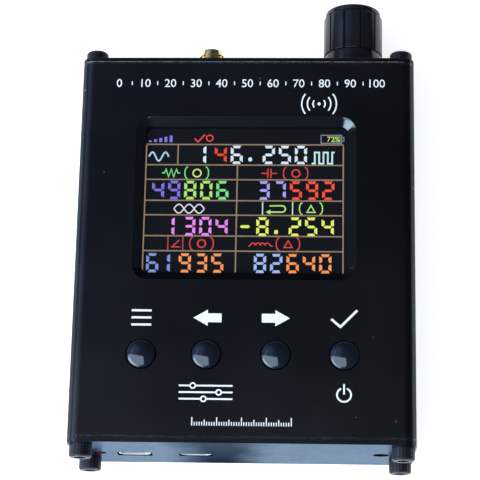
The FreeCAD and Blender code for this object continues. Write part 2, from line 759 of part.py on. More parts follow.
def main_board():
    body = new_body("main_board")
    half = inner_half - main_board_gap
    end = half_length - main_board_gap
    notch_left = knob_x - encoder_side / 2 - notch_gap
    notch_right = knob_x + encoder_side / 2 + notch_gap
    notch_floor = half_length - encoder_plate - encoder_depth - notch_gap
    sketch = new_sketch(body, "XY_Plane", main_board_low)
    outline(sketch, [(-half, -end), (half, -end), (half, end), (notch_right, end),
                     (notch_right, notch_floor, notch_corner),
                     (notch_left, notch_floor, notch_corner), (notch_left, end), (-half, end)])
    for x, y in standoff_places():
        circle(sketch, x, y, small_bore)
    pad(body, sketch, board_thickness)


def front_board():
    body = new_body("front_board")
    sketch = new_sketch(body, "XY_Plane", front_board_low)
    rectangle(sketch, -front_board_half, front_board_half, front_board_low_y,
              front_board_top_y, front_board_corner)
    for x, y in standoff_places():
        circle(sketch, x, y, small_bore)
    pad(body, sketch, board_thickness)


def board_link():
    # A row of pins under the front board plugs into a socket on the main board.
    right = pin_pitch * pin_count / 2
    near = link_y - link_depth / 2
    far = link_y + link_depth / 2
    strip_low = front_board_low - link_strip
    socket = block("board_socket", (-right, right), (near, far), (main_board_top, strip_low))
    slot = new_sketch(socket, "XY_Plane", strip_low)
    rectangle(slot, -right + link_end, right - link_end, link_y - link_slot / 2,
              link_y + link_slot / 2)
    pocket(socket, slot, link_slot_depth)
    header = block("board_header", (-right, right), (near, far), (strip_low, front_board_low))
    pins = new_sketch(header, "XY_Plane", strip_low)
    half_pin = pin_side / 2
    for index in range(pin_count):
        x = pin_pitch * (index + 0.5) - right
        rectangle(pins, x - half_pin, x + half_pin, link_y - half_pin, link_y + half_pin)
    pad(header, pins, pin_reach, reverse=True)


def standoffs():
    pillar = model_body("pillar")
    sketch = new_sketch(pillar, "XY_Plane")
    hexagon(sketch, standoff_flats)
    circle(sketch, 0, 0, small_bore)
    pad(pillar, sketch, standoff_length)
    repeated("board_standoffs", pillar,
             [(x, y, main_board_top, AHEAD) for x, y in standoff_places()])
    screw = model_body("pan_screw")
    revolve(screw, [(0, -small_screw_reach), (small_screw_radius, -small_screw_reach),
                    (small_screw_radius, 0), (small_head_radius, 0),
                    (small_head_radius, small_head_height), (0, small_head_height)],
            plane="XZ_Plane")
    above = [(x, y, front_board_top, AHEAD) for x, y in standoff_places()]
    below = [(x, y, main_board_low, UPSIDE_DOWN) for x, y in standoff_places()]
    repeated("standoff_screws", screw, above + below)


def rf_shield():
    # A can of folded tinplate, open towards the board, with a hole for the jack's tail.
    body = block("rf_shield", (shield_left, shield_right), (shield_near, shield_far),
                 (main_board_top, main_board_top + shield_height), shield_corner)
    inside = new_sketch(body, "XY_Plane", main_board_top)
    rectangle(inside, shield_left + sheet_metal, shield_right - sheet_metal,
              shield_near + sheet_metal, shield_far - sheet_metal, shield_corner / 2)
    pocket(body, inside, shield_height - sheet_metal, reverse=True)
    hole = new_sketch(body, "XZ_Plane", -shield_far)
    circle(hole, jack_x, jack_z, jack_tail_radius + close_fit)
    pocket(body, hole, sheet_metal * 2, reverse=True)


def chips():
    for name, chip in CHIPS.items():
        half_x = chip["width"] / 2
        half_y = chip["length"] / 2
        block(name, (chip["x"] - half_x, chip["x"] + half_x),
              (chip["y"] - half_y, chip["y"] + half_y),
              (main_board_top, main_board_top + chip["height"]),
              coil_corner if name == "power_coil" else None)


# ---- Buttons ----

def button_set(name, x):
    # A domed cap, the push switch under it and the switch's plunger.
    cap = new_body(name + "_button", x, button_y)
    flange_top = button_flange_low + button_flange_thickness
    edge = case_depth + button_edge
    bulge = (button_radius * button_radius + button_dome * button_dome) / (button_dome * 2)
    centre = (0, edge + button_dome - bulge)
    revolve(cap, [(0, button_flange_low), (button_flange, button_flange_low),
                  (button_flange, flange_top), (button_radius, flange_top),
                  (button_radius, edge), (0, edge + button_dome)],
            {4: (centre, 1)}, plane="XZ_Plane")

    switch = new_body(name + "_switch", x, button_y)
    base = new_sketch(switch, "XY_Plane", front_board_top)
    half = switch_side / 2
    rectangle(base, -half, half, -half, half)
    pad(switch, base, switch_height)
    switch_top = front_board_top + switch_height
    well = new_sketch(switch, "XY_Plane", switch_top)
    circle(well, 0, 0, switch_plunger + switch_well_gap)
    pocket(switch, well, switch_well)

    plunger = new_body(name + "_plunger", x, button_y)
    plunger_low = switch_top - switch_well + plunger_gap
    base = new_sketch(plunger, "XY_Plane", plunger_low)
    circle(base, 0, 0, switch_plunger)
    pad(plunger, base, button_flange_low - plunger_low)


# ---- Antenna jack ----

def antenna_jack():
    jack = new_body("sma_jack", jack_x, 0, jack_z)
    flange_low = half_length - jack_flange
    tail_end = flange_low - jack_tail
    tip = plate_face + jack_reach
    thread_end = tip - jack_tip_length
    relief_low = plate_face + washer_thickness + nut_height
    relief_high = relief_low + relief_width
    revolve(jack, [(jack_bore, tail_end), (jack_tail_radius, tail_end),
                   (jack_tail_radius, flange_low), (jack_thread, flange_low),
                   (jack_thread, relief_low), (relief_radius, relief_low),
                   (relief_radius, relief_high), (jack_thread, relief_high),
                   (jack_thread, thread_end), (jack_tip_radius, thread_end),
                   (jack_tip_radius, tip), (jack_bore, tip)])
    flange = new_sketch(jack, "XZ_Plane", -flange_low)
    hexagon(flange, jack_flats)
    circle(flange, 0, 0, jack_thread - close_fit)
    pad(jack, flange, jack_flange, reverse=True)

    face = tip - contact_recess
    insulator = new_body("sma_insulator", jack_x, 0, jack_z)
    revolve(insulator, [(contact_radius, tail_end), (jack_bore, tail_end), (jack_bore, face),
                        (contact_radius, face)])
    contact = new_body("sma_contact", jack_x, 0, jack_z)
    tail = tail_end - contact_tail
    socket_floor = face - contact_socket
    revolve(contact, [(0, tail), (contact_radius, tail), (contact_radius, face),
                      (contact_bore, face), (contact_bore, socket_floor), (0, socket_floor)])

    washer = new_body("sma_washer", jack_x, 0, jack_z)
    sketch = new_sketch(washer, "XZ_Plane", -plate_face)
    circle(sketch, 0, 0, jack_washer)
    circle(sketch, 0, 0, jack_thread + close_fit)
    pad(washer, sketch, washer_thickness, reverse=True)
    nut = new_body("sma_nut", jack_x, 0, jack_z)
    sketch = new_sketch(nut, "XZ_Plane", -(plate_face + washer_thickness))
    hexagon(sketch, jack_flats)
    circle(sketch, 0, 0, jack_thread + close_fit)
    pad(nut, sketch, nut_height, reverse=True)


# ---- Shaft encoder ----

def encoder():
    half = encoder_side / 2
    plate_low = half_length - encoder_plate
    shoulder = plate_low - shoulder_drop
    spindle_end = shoulder - spindle_length

    housing = new_body("encoder_housing", knob_x, 0, knob_z)
    sketch = new_sketch(housing, "XZ_Plane", -plate_low)
    rectangle(sketch, -half, half, -half, half, encoder_corner)
    pad(housing, sketch, encoder_depth)
    chamber = new_sketch(housing, "XZ_Plane", -plate_low)
    circle(chamber, 0, 0, rotor_radius + rotor_gap)
    pocket(housing, chamber, spindle_length, reverse=True)
    well = new_sketch(housing, "XZ_Plane", -plate_low)
    circle(well, 0, 0, push_radius + push_gap)
    pocket(housing, well, encoder_depth - encoder_floor, reverse=True)

    bushing = new_body("encoder_bushing", knob_x, 0, knob_z)
    sketch = new_sketch(bushing, "XZ_Plane", -plate_low)
    rectangle(sketch, -half, half, -half, half, encoder_corner)
    pad(bushing, sketch, encoder_plate, reverse=True)
    barrel = new_sketch(bushing, "XZ_Plane", -half_length)
    circle(barrel, 0, 0, bushing_radius)
    pad(bushing, barrel, bushing_length, reverse=True)
    bore = new_sketch(bushing, "XZ_Plane", -plate_low)
    circle(bore, 0, 0, shaft_radius + close_fit)
    pocket(bushing, bore, encoder_plate + bushing_length)

    washer = new_body("encoder_washer", knob_x, 0, knob_z)
    sketch = new_sketch(washer, "XZ_Plane", -plate_face)
    circle(sketch, 0, 0, washer_radius)
    circle(sketch, 0, 0, bushing_radius + close_fit)
    pad(washer, sketch, washer_thickness, reverse=True)
    nut = new_body("encoder_nut", knob_x, 0, knob_z)
    sketch = new_sketch(nut, "XZ_Plane", -(plate_face + washer_thickness))
    hexagon(sketch, nut_flats)
    circle(sketch, 0, 0, bushing_radius + close_fit)
    pad(nut, sketch, nut_height, reverse=True)

    rotor = new_body("encoder_rotor", knob_x, 0, knob_z)
    sketch = new_sketch(rotor, "XZ_Plane", -(shoulder - rotor_drop - rotor_thickness))
    circle(sketch, 0, 0, rotor_radius)
    d_outline(sketch, spindle_radius + rotor_fit, shaft_flat + rotor_fit)
    pad(rotor, sketch, rotor_thickness, reverse=True)

    plunger = new_body("push_plunger", knob_x, 0, knob_z)
    sketch = new_sketch(plunger, "XZ_Plane", -spindle_end)
    circle(sketch, 0, 0, push_radius)
    pad(plunger, sketch, push_length)

    shaft = new_body("encoder_shaft", knob_x, 0, knob_z)
    shaft_end = half_length + shaft_reach
    revolve(shaft, [(0, spindle_end), (spindle_radius, spindle_end), (spindle_radius, shoulder),
                    (shaft_radius, shoulder), (shaft_radius, shaft_end), (0, shaft_end)])
    for start, length in ((spindle_end, spindle_length),
                          (shaft_end - shaft_flat_length, shaft_flat_length)):
        flat = new_sketch(shaft, "XZ_Plane", -start)
        rectangle(flat, -shaft_radius, shaft_radius, shaft_flat, shaft_radius + past_edge)
        pocket(shaft, flat, length)


def knob():
    body = new_body("knob", knob_x, 0, knob_z)
    low = plate_face + knob_gap
    recess_floor = low + knob_recess_depth
    skirt_top = low + skirt_length
    top = low + knob_length - cap_height
    spigot_low = top - cap_spigot_length
    revolve(body, [(0, recess_floor), (knob_recess_radius, recess_floor),
                   (knob_recess_radius, low), (skirt_radius, low), (skirt_radius, skirt_top),
                   (knob_radius, skirt_top), (knob_radius, top), (cap_spigot_radius, top),
                   (cap_spigot_radius, spigot_low), (0, spigot_low)])
    bore = new_sketch(body, "XZ_Plane", -recess_floor)
    d_outline(bore, shaft_radius + close_fit, shaft_flat + close_fit)
    pocket(body, bore, half_length + shaft_reach + close_fit - recess_floor)

    groove = new_sketch(body, "XZ_Plane", -skirt_top)
    groove.AttachmentOffset = FreeCAD.Placement(FreeCAD.Vector(),
                                                FreeCAD.Rotation(OUT, -flute_turn.value))
    bind(groove, "AttachmentOffset.Base.z", -skirt_top)
    bind(groove, "AttachmentOffset.Rotation.Angle", flute_turn)
    half = flute_width / 2
    outline(groove, [(-half, knob_radius + past_edge), (0, knob_radius - flute_depth),
                     (half, knob_radius + past_edge)])
    flute = pocket(body, groove, top - skirt_top)
    before = body.Shape.Volume
    pattern = body.newObject("PartDesign::PolarPattern", "Flutes")
    pattern.Originals = [flute]
    axis = next(item for item in body.Origin.OriginFeatures if item.Role == "Y_Axis")
    pattern.Axis = (axis, [""])
    pattern.Angle = 360
    bind(pattern, "Occurrences", flute_count)
    body.Tip = pattern
    document.recompute()
    check_cut(body, before)

    cap = new_body("knob_cap", knob_x, 0, knob_z)
    end = low + knob_length
    spigot = cap_spigot_radius - close_fit
    revolve(cap, [(0, spigot_low), (spigot, spigot_low), (spigot, top), (cap_radius, top),
                  (cap_radius, end, cap_edge), (0, end)])


# ---- Sockets, light and reset switch ----

def socket_outline(sketch, socket, inset):
    # Wide towards the front of the case and narrow on the board. The slanted sides keep about
    # the same wall when their lower ends move in by a share of the inset.
    wide = socket["half_wide"] - inset
    narrow = socket["half_narrow"] - slant_share * inset
    top = socket["height"] - inset
    outline(sketch, [(-wide, top), (-wide, socket["waist"]), (-narrow, inset), (narrow, inset),
                     (wide, socket["waist"]), (wide, top)])


def usb_socket(name, socket):
    mouth = -(plate_face - socket_recess)
    rear = mouth + socket["depth"]
    shell = new_body(name + "_usb_shell", socket["x"], 0, main_board_top)
    sketch = new_sketch(shell, "XZ_Plane", -rear)
    socket_outline(sketch, socket, 0)
    pad(shell, sketch, socket["depth"])
    inside = new_sketch(shell, "XZ_Plane", -mouth)
    socket_outline(inside, socket, sheet_metal)
    pocket(shell, inside, socket["depth"] - sheet_metal)

    tongue = new_body(name + "_usb_tongue", socket["x"], 0, main_board_top)
    sketch = new_sketch(tongue, "XZ_Plane", -(rear - sheet_metal))
    half = socket["half_tongue"]
    rectangle(sketch, -half, half, sheet_metal, socket["height"] - sheet_metal)
    pad(tongue, sketch, tongue_block)
    blade = new_sketch(tongue, "XZ_Plane", -(rear - sheet_metal))
    rectangle(blade, -half, half, socket["tongue_low"], socket["tongue_high"])
    pad(tongue, blade, socket["depth"] - sheet_metal - tongue_setback)


def charge_light():
    # A 3 mm light lying on its side, with its legs bent down to the board.
    body = new_body("charge_led", light_x, 0, light_z)
    tip = -(plate_face + light_proud)
    shoulder = tip + light_radius
    rear = tip + light_length
    rim = light_radius + light_rim
    rim_face = rear - light_rim_length
    revolve(body, [(0, rear), (rim, rear), (rim, rim_face), (light_radius, rim_face),
                   (light_radius, shoulder), (0, tip)],
            {4: ((0, shoulder), -1)})
    drop = light_z - main_board_top
    half_leg = leg_side / 2
    inner_end = rear - leg_side
    turn = rear + leg_reach
    for side in (-1, 1):
        legs = new_sketch(body, "YZ_Plane", leg_pitch * side / 2 - half_leg)
        outline(legs, [(inner_end, half_leg), (inner_end, -half_leg), (turn, -half_leg),
                       (turn, -drop), (turn + leg_side, -drop), (turn + leg_side, half_leg)])
        pad(body, legs, leg_side)


def reset_button():
    face = -(half_length - reset_setback)
    switch = new_body("reset_switch", reset_x)
    sketch = new_sketch(switch, "XY_Plane", main_board_top)
    rectangle(sketch, -reset_width / 2, reset_width / 2, face, face + reset_depth)
    pad(switch, sketch, reset_height)
    well = new_sketch(switch, "XZ_Plane", -face)
    circle(well, 0, reset_z, reset_plunger_radius + switch_well_gap)
    pocket(switch, well, reset_well)
    plunger = new_body("reset_plunger", reset_x, 0, reset_z)
    sketch = new_sketch(plunger, "XZ_Plane", -(face + reset_plunger_base))
    circle(sketch, 0, 0, reset_plunger_radius)
    pad(plunger, sketch, reset_plunger_length)


# ---- Battery ----

def battery():
    low = battery_y - battery_length / 2
    high = battery_y + battery_length / 2
    half = battery_width / 2
    foam_top = back_wall + foam_thickness
    block("battery_foam", (-half + foam_side, half - foam_side), (low + foam_end, high - foam_end),
          (back_wall, foam_top))
    cell_top = foam_top + battery_thickness
    block("battery_cell", (-half, half), (low, high), (foam_top, cell_top), battery_corner)

    half_socket = plug_socket_width / 2
    socket_low = main_board_low - plug_socket_height
    socket = block("battery_socket", (plug_x - half_socket, plug_x + half_socket),
                   (plug_y - plug_socket_depth, plug_y), (socket_low, main_board_low))
    half_mouth = half_socket - plug_wall
    mouth_low = socket_low + plug_wall
    mouth_top = main_board_low - plug_wall
    mouth = new_sketch(socket, "XZ_Plane", -plug_y)
    rectangle(mouth, plug_x - half_mouth, plug_x + half_mouth, mouth_low, mouth_top)
    pocket(socket, mouth, plug_mouth, reverse=True)
    half_plug = half_mouth - close_fit
    plug_near = plug_y - plug_mouth + close_fit
    plug_far = plug_near + plug_length
    block("battery_plug", (plug_x - half_plug, plug_x + half_plug), (plug_near, plug_far),
          (mouth_low + close_fit, mouth_top - close_fit))
    wire = model_body("battery_wire")
    route = new_sketch(wire, "XZ_Plane", -plug_far)
    circle(route, 0, 0, wire_radius)
    pad(wire, route, low - plug_far, reverse=True)
    level = (socket_low + main_board_low) / 2
    repeated("battery_leads", wire,
             [(plug_x + wire_pitch * side / 2, 0, level, AHEAD) for side in (-1, 1)])


front_cover()
back_cover()
top_end_plate()
bottom_end_plate()
case_screws()
display()
display_flex()
main_board()
front_board()
board_link()
standoffs()
rf_shield()
chips()
for button_name, button_place in BUTTONS.items():
    button_set(button_name, button_place)
antenna_jack()
encoder()
knob()
for socket_name, socket_sizes in SOCKETS.items():
    usb_socket(socket_name, socket_sizes)
charge_light()
reset_button()
battery()
document.recompute()

for item in document.Objects:
    if "Invalid" in item.State or "Error" in item.State:
        raise ValueError(f"{item.Label} did not recompute: {item.State}")
for name, item in sub_parts.items():
    if item.Shape.isNull() or not item.Shape.isValid():
        raise ValueError(f"{name} has no valid shape")

os.makedirs("parts", exist_ok=True)
for name, item in sub_parts.items():
    item.Shape.exportStep(f"parts/{name}.step")
    print(f"{name:22s} {len(item.Shape.Solids):2d} solids {item.Shape.Volume:10.2f} mm3")
print(len(sub_parts), "sub-parts")
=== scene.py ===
import bmesh
import bpy
import json
import math
from mathutils import Matrix, Vector


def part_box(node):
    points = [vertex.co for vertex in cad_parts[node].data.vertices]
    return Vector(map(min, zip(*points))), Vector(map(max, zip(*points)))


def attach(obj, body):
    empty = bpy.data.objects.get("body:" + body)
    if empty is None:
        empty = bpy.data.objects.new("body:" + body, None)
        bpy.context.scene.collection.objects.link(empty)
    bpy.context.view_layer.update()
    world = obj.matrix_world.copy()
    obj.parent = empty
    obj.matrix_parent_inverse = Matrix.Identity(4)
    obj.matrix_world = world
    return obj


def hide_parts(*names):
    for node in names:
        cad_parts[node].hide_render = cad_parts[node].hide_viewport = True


# Handheld antenna analyzer lying on its back. Pieces are drawn in millimetres, in the frame of
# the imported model: x to the right, y towards the knob, z out of the front face.
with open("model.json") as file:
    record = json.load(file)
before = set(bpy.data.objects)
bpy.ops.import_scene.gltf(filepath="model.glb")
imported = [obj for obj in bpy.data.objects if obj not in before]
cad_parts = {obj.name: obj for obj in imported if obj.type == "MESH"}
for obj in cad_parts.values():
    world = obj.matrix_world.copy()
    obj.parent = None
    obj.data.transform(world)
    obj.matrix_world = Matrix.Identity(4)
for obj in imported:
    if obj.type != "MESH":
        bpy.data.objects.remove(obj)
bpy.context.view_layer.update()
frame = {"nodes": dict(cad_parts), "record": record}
nodes = frame["nodes"]
scene = bpy.context.scene
mm = 0.001


def say(stage):
    print("analyzer:", stage)


def boxOf(node):
    low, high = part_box(node)
    return low / mm, high / mm


def middleOf(node):
    low, high = boxOf(node)
    return (low + high) / 2


frontFace = boxOf("front_cover")[1].z
plateFace = boxOf("top_end_plate")[1].y
slotOf = {part["node"]: part["material_slot"] for part in frame["record"]["subparts"]}
say("frame loaded")


# Mesh helpers

creaseAngle = 32                            # degrees; edges that turn more are kept crisp
# the built-in font, in shares of its size: how tall a numeral is and how much bolder it's drawn
fontShape = {"numeral": 0.73, "bolder": 0.006, "steps": 4}
# merging and edges of a node's copy: distance in millimetres, angles in degrees
copyShape = {"weld": 1e-3, "flatWithin": 0.5, "breakAbove": 35, "flatWeight": 90}


def closeShell(bm):
    bmesh.ops.remove_doubles(bm, verts=bm.verts, dist=1e-4)
    bmesh.ops.recalc_face_normals(bm, faces=bm.faces)


def addPiece(name, bm, materials, body="root", stands=()):
    # A bmesh in millimetres becomes a piece that rides on a body.
    bmesh.ops.scale(bm, vec=Vector((mm, mm, mm)), verts=bm.verts)
    mesh = bpy.data.meshes.new(name)
    bm.to_mesh(mesh)
    bm.free()
    mesh.shade_smooth()
    mesh.set_sharp_from_angle(angle=math.radians(creaseAngle))
    for material in materials:
        mesh.materials.append(material)
    piece = bpy.data.objects.new(name, mesh)
    scene.collection.objects.link(piece)
    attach(piece, body)
    if stands:
        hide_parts(*stands)
    return piece


def arc(centre, radius, start, end, count):
    # Points along an arc, angles in degrees from +x towards +y.
    turns = [math.radians(start + (end - start) * i / (count - 1)) for i in range(count)]
    return [(centre[0] + radius * math.cos(t), centre[1] + radius * math.sin(t)) for t in turns]


def lathe(profile, steps, rounds, segments=4):
    # Spins a profile of (radius, height) points about z. rounds: (number of a point, radius).
    bm = bmesh.new()
    line = [bm.verts.new((radius, 0, height)) for radius, height in profile]
    for pair in zip(line, line[1:]):
        bm.edges.new(pair)
    for index, radius in rounds:
        bmesh.ops.bevel(bm, geom=[line[index]], offset=radius, segments=segments, profile=0.5,
                        affect="VERTICES", material=-1)
    bmesh.ops.spin(bm, geom=bm.verts[:] + bm.edges[:], axis=(0, 0, 1), angle=math.tau,
                   steps=steps, use_merge=True)
    closeShell(bm)
    return bm


def stand(bm, x, y, z):
    bmesh.ops.translate(bm, vec=(x, y, z), verts=bm.verts)


def lay(bm, x, z, y=0, towards=1):
    # Lays a piece made about z along y, its top towards +y or -y.
    bmesh.ops.rotate(bm, matrix=Matrix.Rotation(-towards * math.pi / 2, 3, "X"), verts=bm.verts)
    bmesh.ops.translate(bm, vec=(x, y, z), verts=bm.verts)
    return bm


def joined(parts):
    whole = bmesh.new()
    for part in parts:
        step = bpy.data.meshes.new("step")
        part.to_mesh(step)
        part.free()
        whole.from_mesh(step)
        bpy.data.meshes.remove(step)
    return whole


def patch(bm, points, ink=0):
    # A flat filled outline.
    face = bm.faces.new([bm.verts.new((x, y, 0)) for x, y in points])
    face.material_index = ink


def stroke(bm, points, width, ink=0, closed=False):
    # A flat line of even width through the points, with its corners mitred up to a limit.
    sharpest = 0.4
    spots = [Vector((x, y, 0)) for x, y in points]
    rims = ([], [])
    for index, here in enumerate(spots):
        runs = []
        if closed or index > 0:
            runs.append((here - spots[index - 1]).normalized())
        if closed or index < len(spots) - 1:
            runs.append((spots[(index + 1) % len(spots)] - here).normalized())
        ahead = sum(runs, Vector()).normalized()
        reach = width / 2 / max(ahead.dot(runs[0]), sharpest)
        side = Vector((-ahead.y, ahead.x, 0)) * reach
        rims[0].append(bm.verts.new(here + side))
        rims[1].append(bm.verts.new(here - side))
    edges = []
    for rim in rims:
        ends = rim[1:] + (rim[:1] if closed else [])
        edges += [bm.edges.new(pair) for pair in zip(rim, ends)]
    for face in bmesh.ops.bridge_loops(bm, edges=edges)["faces"]:
        face.material_index = ink


def typed(bm, words, x, y, height, ink=0, flip=1):
    # Numerals centred on a spot, from the built-in font, made a mesh before they are placed.
    curve = bpy.data.curves.new("typed", "FONT")
    curve.body = words
    curve.align_x = "CENTER"
    curve.size = height / fontShape["numeral"]
    curve.resolution_u = fontShape["steps"]
    curve.offset = fontShape["bolder"]
    item = bpy.data.objects.new("typed", curve)
    mesh = bpy.data.meshes.new_from_object(item)
    letters = bmesh.new()
    letters.from_mesh(mesh)
    bmesh.ops.scale(letters, vec=(1, flip, 1), verts=letters.verts)
    bmesh.ops.translate(letters, vec=(x, y, 0), verts=letters.verts)
    for face in letters.faces:
        face.material_index = ink
    letters.to_mesh(mesh)
    letters.free()
    bm.from_mesh(mesh)
    bpy.data.objects.remove(item)
    bpy.data.curves.remove(curve)
    bpy.data.meshes.remove(mesh)


def thicken(bm, depth):
    # Flat marks become thin closed plates.
    bmesh.ops.remove_doubles(bm, verts=bm.verts, dist=1e-5)
    raised = bmesh.ops.extrude_face_region(bm, geom=bm.faces[:])["geom"]
    bmesh.ops.translate(bm, vec=(0, 0, depth),
                        verts=[item for item in raised if isinstance(item, bmesh.types.BMVert)])
    bmesh.ops.recalc_face_normals(bm, faces=bm.faces)


def softCopy(node, width, materials, body="root", segments=2, split=None, edges=-1):
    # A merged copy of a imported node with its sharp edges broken, as deburred metal has them.
    # split gives the material number of a face from its centre and normal, edges that of the
    # broken edges.
    bm = bmesh.new()
    bm.from_mesh(nodes[node].data)
    bmesh.ops.scale(bm, vec=Vector((1 / mm, 1 / mm, 1 / mm)), verts=bm.verts)
    bmesh.ops.remove_doubles(bm, verts=bm.verts, dist=copyShape["weld"])
    bmesh.ops.dissolve_limit(bm, angle_limit=math.radians(copyShape["flatWithin"]),
                             verts=bm.verts, edges=bm.edges)
    if split:
        for face in bm.faces:
            face.material_index = split(face.calc_center_median(), face.normal)
    piece = addPiece(node + "_shown", bm, materials, body, [node])
    bevel = piece.modifiers.new("brokenEdges", "BEVEL")
    bevel.width = width * mm
    bevel.segments = segments
    bevel.limit_method = "ANGLE"
    bevel.angle_limit = math.radians(copyShape["breakAbove"])
    bevel.material = edges
    flat = piece.modifiers.new("flatFaces", "WEIGHTED_NORMAL")
    flat.weight = copyShape["flatWeight"]
    flat.keep_sharp = True


# Material helpers

def tint(code):
    # A colour written as on a paint card, #rrggbb, made linear.
    parts = [int(code[i:i + 2], 16) / 255 for i in (1, 3, 5)]
    return [c / 12.92 if c <= 0.04045 else ((c + 0.055) / 1.055) ** 2.4 for c in parts] + [1]


def newNode(tree, kind, **settings):
    node = tree.nodes.new("ShaderNode" + kind)
    for key, value in settings.items():
        if key in node.inputs:
            node.inputs[key].default_value = value
        else:
            setattr(node, key, value)
    return node


def maths(tree, operation, first, second=0.5, third=0.0, clamp=False):
    node = newNode(tree, "Math", operation=operation, use_clamp=clamp)
    for socket, value in zip(node.inputs, (first, second, third)):
        if isinstance(value, (int, float)):
            socket.default_value = value
        else:
            tree.links.new(value, socket)
    return node.outputs[0]


def blendColours(tree, factor, first, second):
    node = newNode(tree, "Mix", data_type="RGBA")
    for socket, value in zip((node.inputs[0], node.inputs[6], node.inputs[7]),
                             (factor, first, second)):
        if isinstance(value, (int, float, list, tuple)):
            socket.default_value = value
        else:
            tree.links.new(value, socket)
    return node.outputs[2]


def newGroup(name, inputs, outputs):
    group = bpy.data.node_groups.new(name, "ShaderNodeTree")
    for label, value in inputs.items():
        kind = "NodeSocketFloat" if isinstance(value, (int, float)) else "NodeSocketColor"
        group.interface.new_socket(label, in_out="INPUT", socket_type=kind).default_value = value
    for label, kind in outputs.items():
        group.interface.new_socket(label, in_out="OUTPUT", socket_type="NodeSocket" + kind)
    return group, group.nodes.new("NodeGroupInput").outputs, group.nodes.new("NodeGroupOutput").inputs


def placeGroup(tree, group, **values):
    node = tree.nodes.new("ShaderNodeGroup")
    node.node_tree = group
    for label, value in values.items():
        if isinstance(value, (int, float, list, tuple)):
            node.inputs[label].default_value = value
        else:
            tree.links.new(value, node.inputs[label])
    return node


def objectSpace(tree):
    return newNode(tree, "TexCoord").outputs["Object"]


def noise(tree, place, scale, detail=2.0, rough=0.5):
    node = newNode(tree, "TexNoise", Detail=detail, Roughness=rough)
    tree.links.new(place, node.inputs["Vector"])
    if isinstance(scale, (int, float)):
        node.inputs["Scale"].default_value = scale
    else:
        tree.links.new(scale, node.inputs["Scale"])
    return node.outputs["Fac"]


def axesOf(tree, place):
    node = newNode(tree, "SeparateXYZ")
    tree.links.new(place, node.inputs[0])
    return node.outputs


def dimmed(tree, colour, level):
    node = newNode(tree, "VectorMath", operation="SCALE")
    tree.links.new(colour, node.inputs[0])
    tree.links.new(level, node.inputs["Scale"])
    return node.outputs[0]


def ramp(tree, value, start, end, first=0.0, last=1.0, kind="SMOOTHSTEP"):
    # first up to start, last from end on, and a slope between the two.
    node = newNode(tree, "MapRange", interpolation_type=kind)
    for label, level in (("From Min", start), ("From Max", end), ("To Min", first),
                         ("To Max", last)):
        node.inputs[label].default_value = level
    tree.links.new(value, node.inputs["Value"])
    return node.outputs["Result"]


def surfaceGroup():
    # Colour drift, uneven gloss and fine grain, all measured in metres on the piece.
    tree, given, put = newGroup("surfaceFinish", {
        "Colour": [0.5, 0.5, 0.5, 1], "Drift": 0.2, "DriftScale": 60.0, "Gloss": 0.4,
        "GlossDrift": 0.1, "GrainScale": 9000.0}, {"Colour": "Color", "Roughness": "Float",
                                                  "Height": "Float"})
    place = objectSpace(tree)
    broad = noise(tree, place, given["DriftScale"], 3, 0.6)
    fine = noise(tree, place, given["GrainScale"])
    swing = maths(tree, "SUBTRACT", broad, 0.5)
    change = maths(tree, "MULTIPLY_ADD", swing, given["Drift"], 1.0)
    tree.links.new(dimmed(tree, given["Colour"], change), put["Colour"])
    tree.links.new(maths(tree, "MULTIPLY_ADD", swing, given["GlossDrift"], given["Gloss"]),
                   put["Roughness"])
    tree.links.new(fine, put["Height"])
    return tree


def dustGroup():
    # Sparse pale specks of dust, and the bright burr that a saw leaves along the case's ends.
    tree, given, put = newGroup("dustAndBurr", {
        "Colour": [0.5, 0.5, 0.5, 1], "Dust": [0.4, 0.4, 0.42, 1],
        "Burr": [0.14, 0.145, 0.15, 1], "SpeckScale": 210.0, "SpeckSize": 0.045,
        "Share": 0.4, "BurrAt": 0.0473, "BurrWidth": 0.00032, "BurrShare": 0.5,
        "BurrScale": 1100.0}, {"Colour": "Color"})
    place = objectSpace(tree)
    cells = newNode(tree, "TexVoronoi", feature="F1")
    tree.links.new(place, cells.inputs["Vector"])
    tree.links.new(given["SpeckScale"], cells.inputs["Scale"])
    near = maths(tree, "LESS_THAN", cells.outputs["Distance"], given["SpeckSize"])
    luck = newNode(tree, "SeparateColor")
    tree.links.new(cells.outputs["Color"], luck.inputs[0])
    speck = maths(tree, "MULTIPLY", near, maths(tree, "GREATER_THAN", luck.outputs[0],
                                                given["Share"]))
    fromMiddle = maths(tree, "ABSOLUTE", axesOf(tree, place)["Y"])
    offset = maths(tree, "ABSOLUTE", maths(tree, "SUBTRACT", fromMiddle, given["BurrAt"]))
    along = maths(tree, "LESS_THAN", offset, given["BurrWidth"])
    ragged = noise(tree, place, given["BurrScale"], 3, 0.8)
    broken = maths(tree, "GREATER_THAN", ragged, given["BurrShare"])
    torn = blendColours(tree, maths(tree, "MULTIPLY", along, broken), given["Colour"],
                        given["Burr"])
    tree.links.new(blendColours(tree, speck, torn, given["Dust"]), put["Colour"])
    return tree


# how the painted shade band, a painted dark reflection on the plates, weakens: heights in metres, and
# the share of it left at the front
paintedShadeDepth = {"back": 0.003, "front": 0.027, "atFront": 0.8}


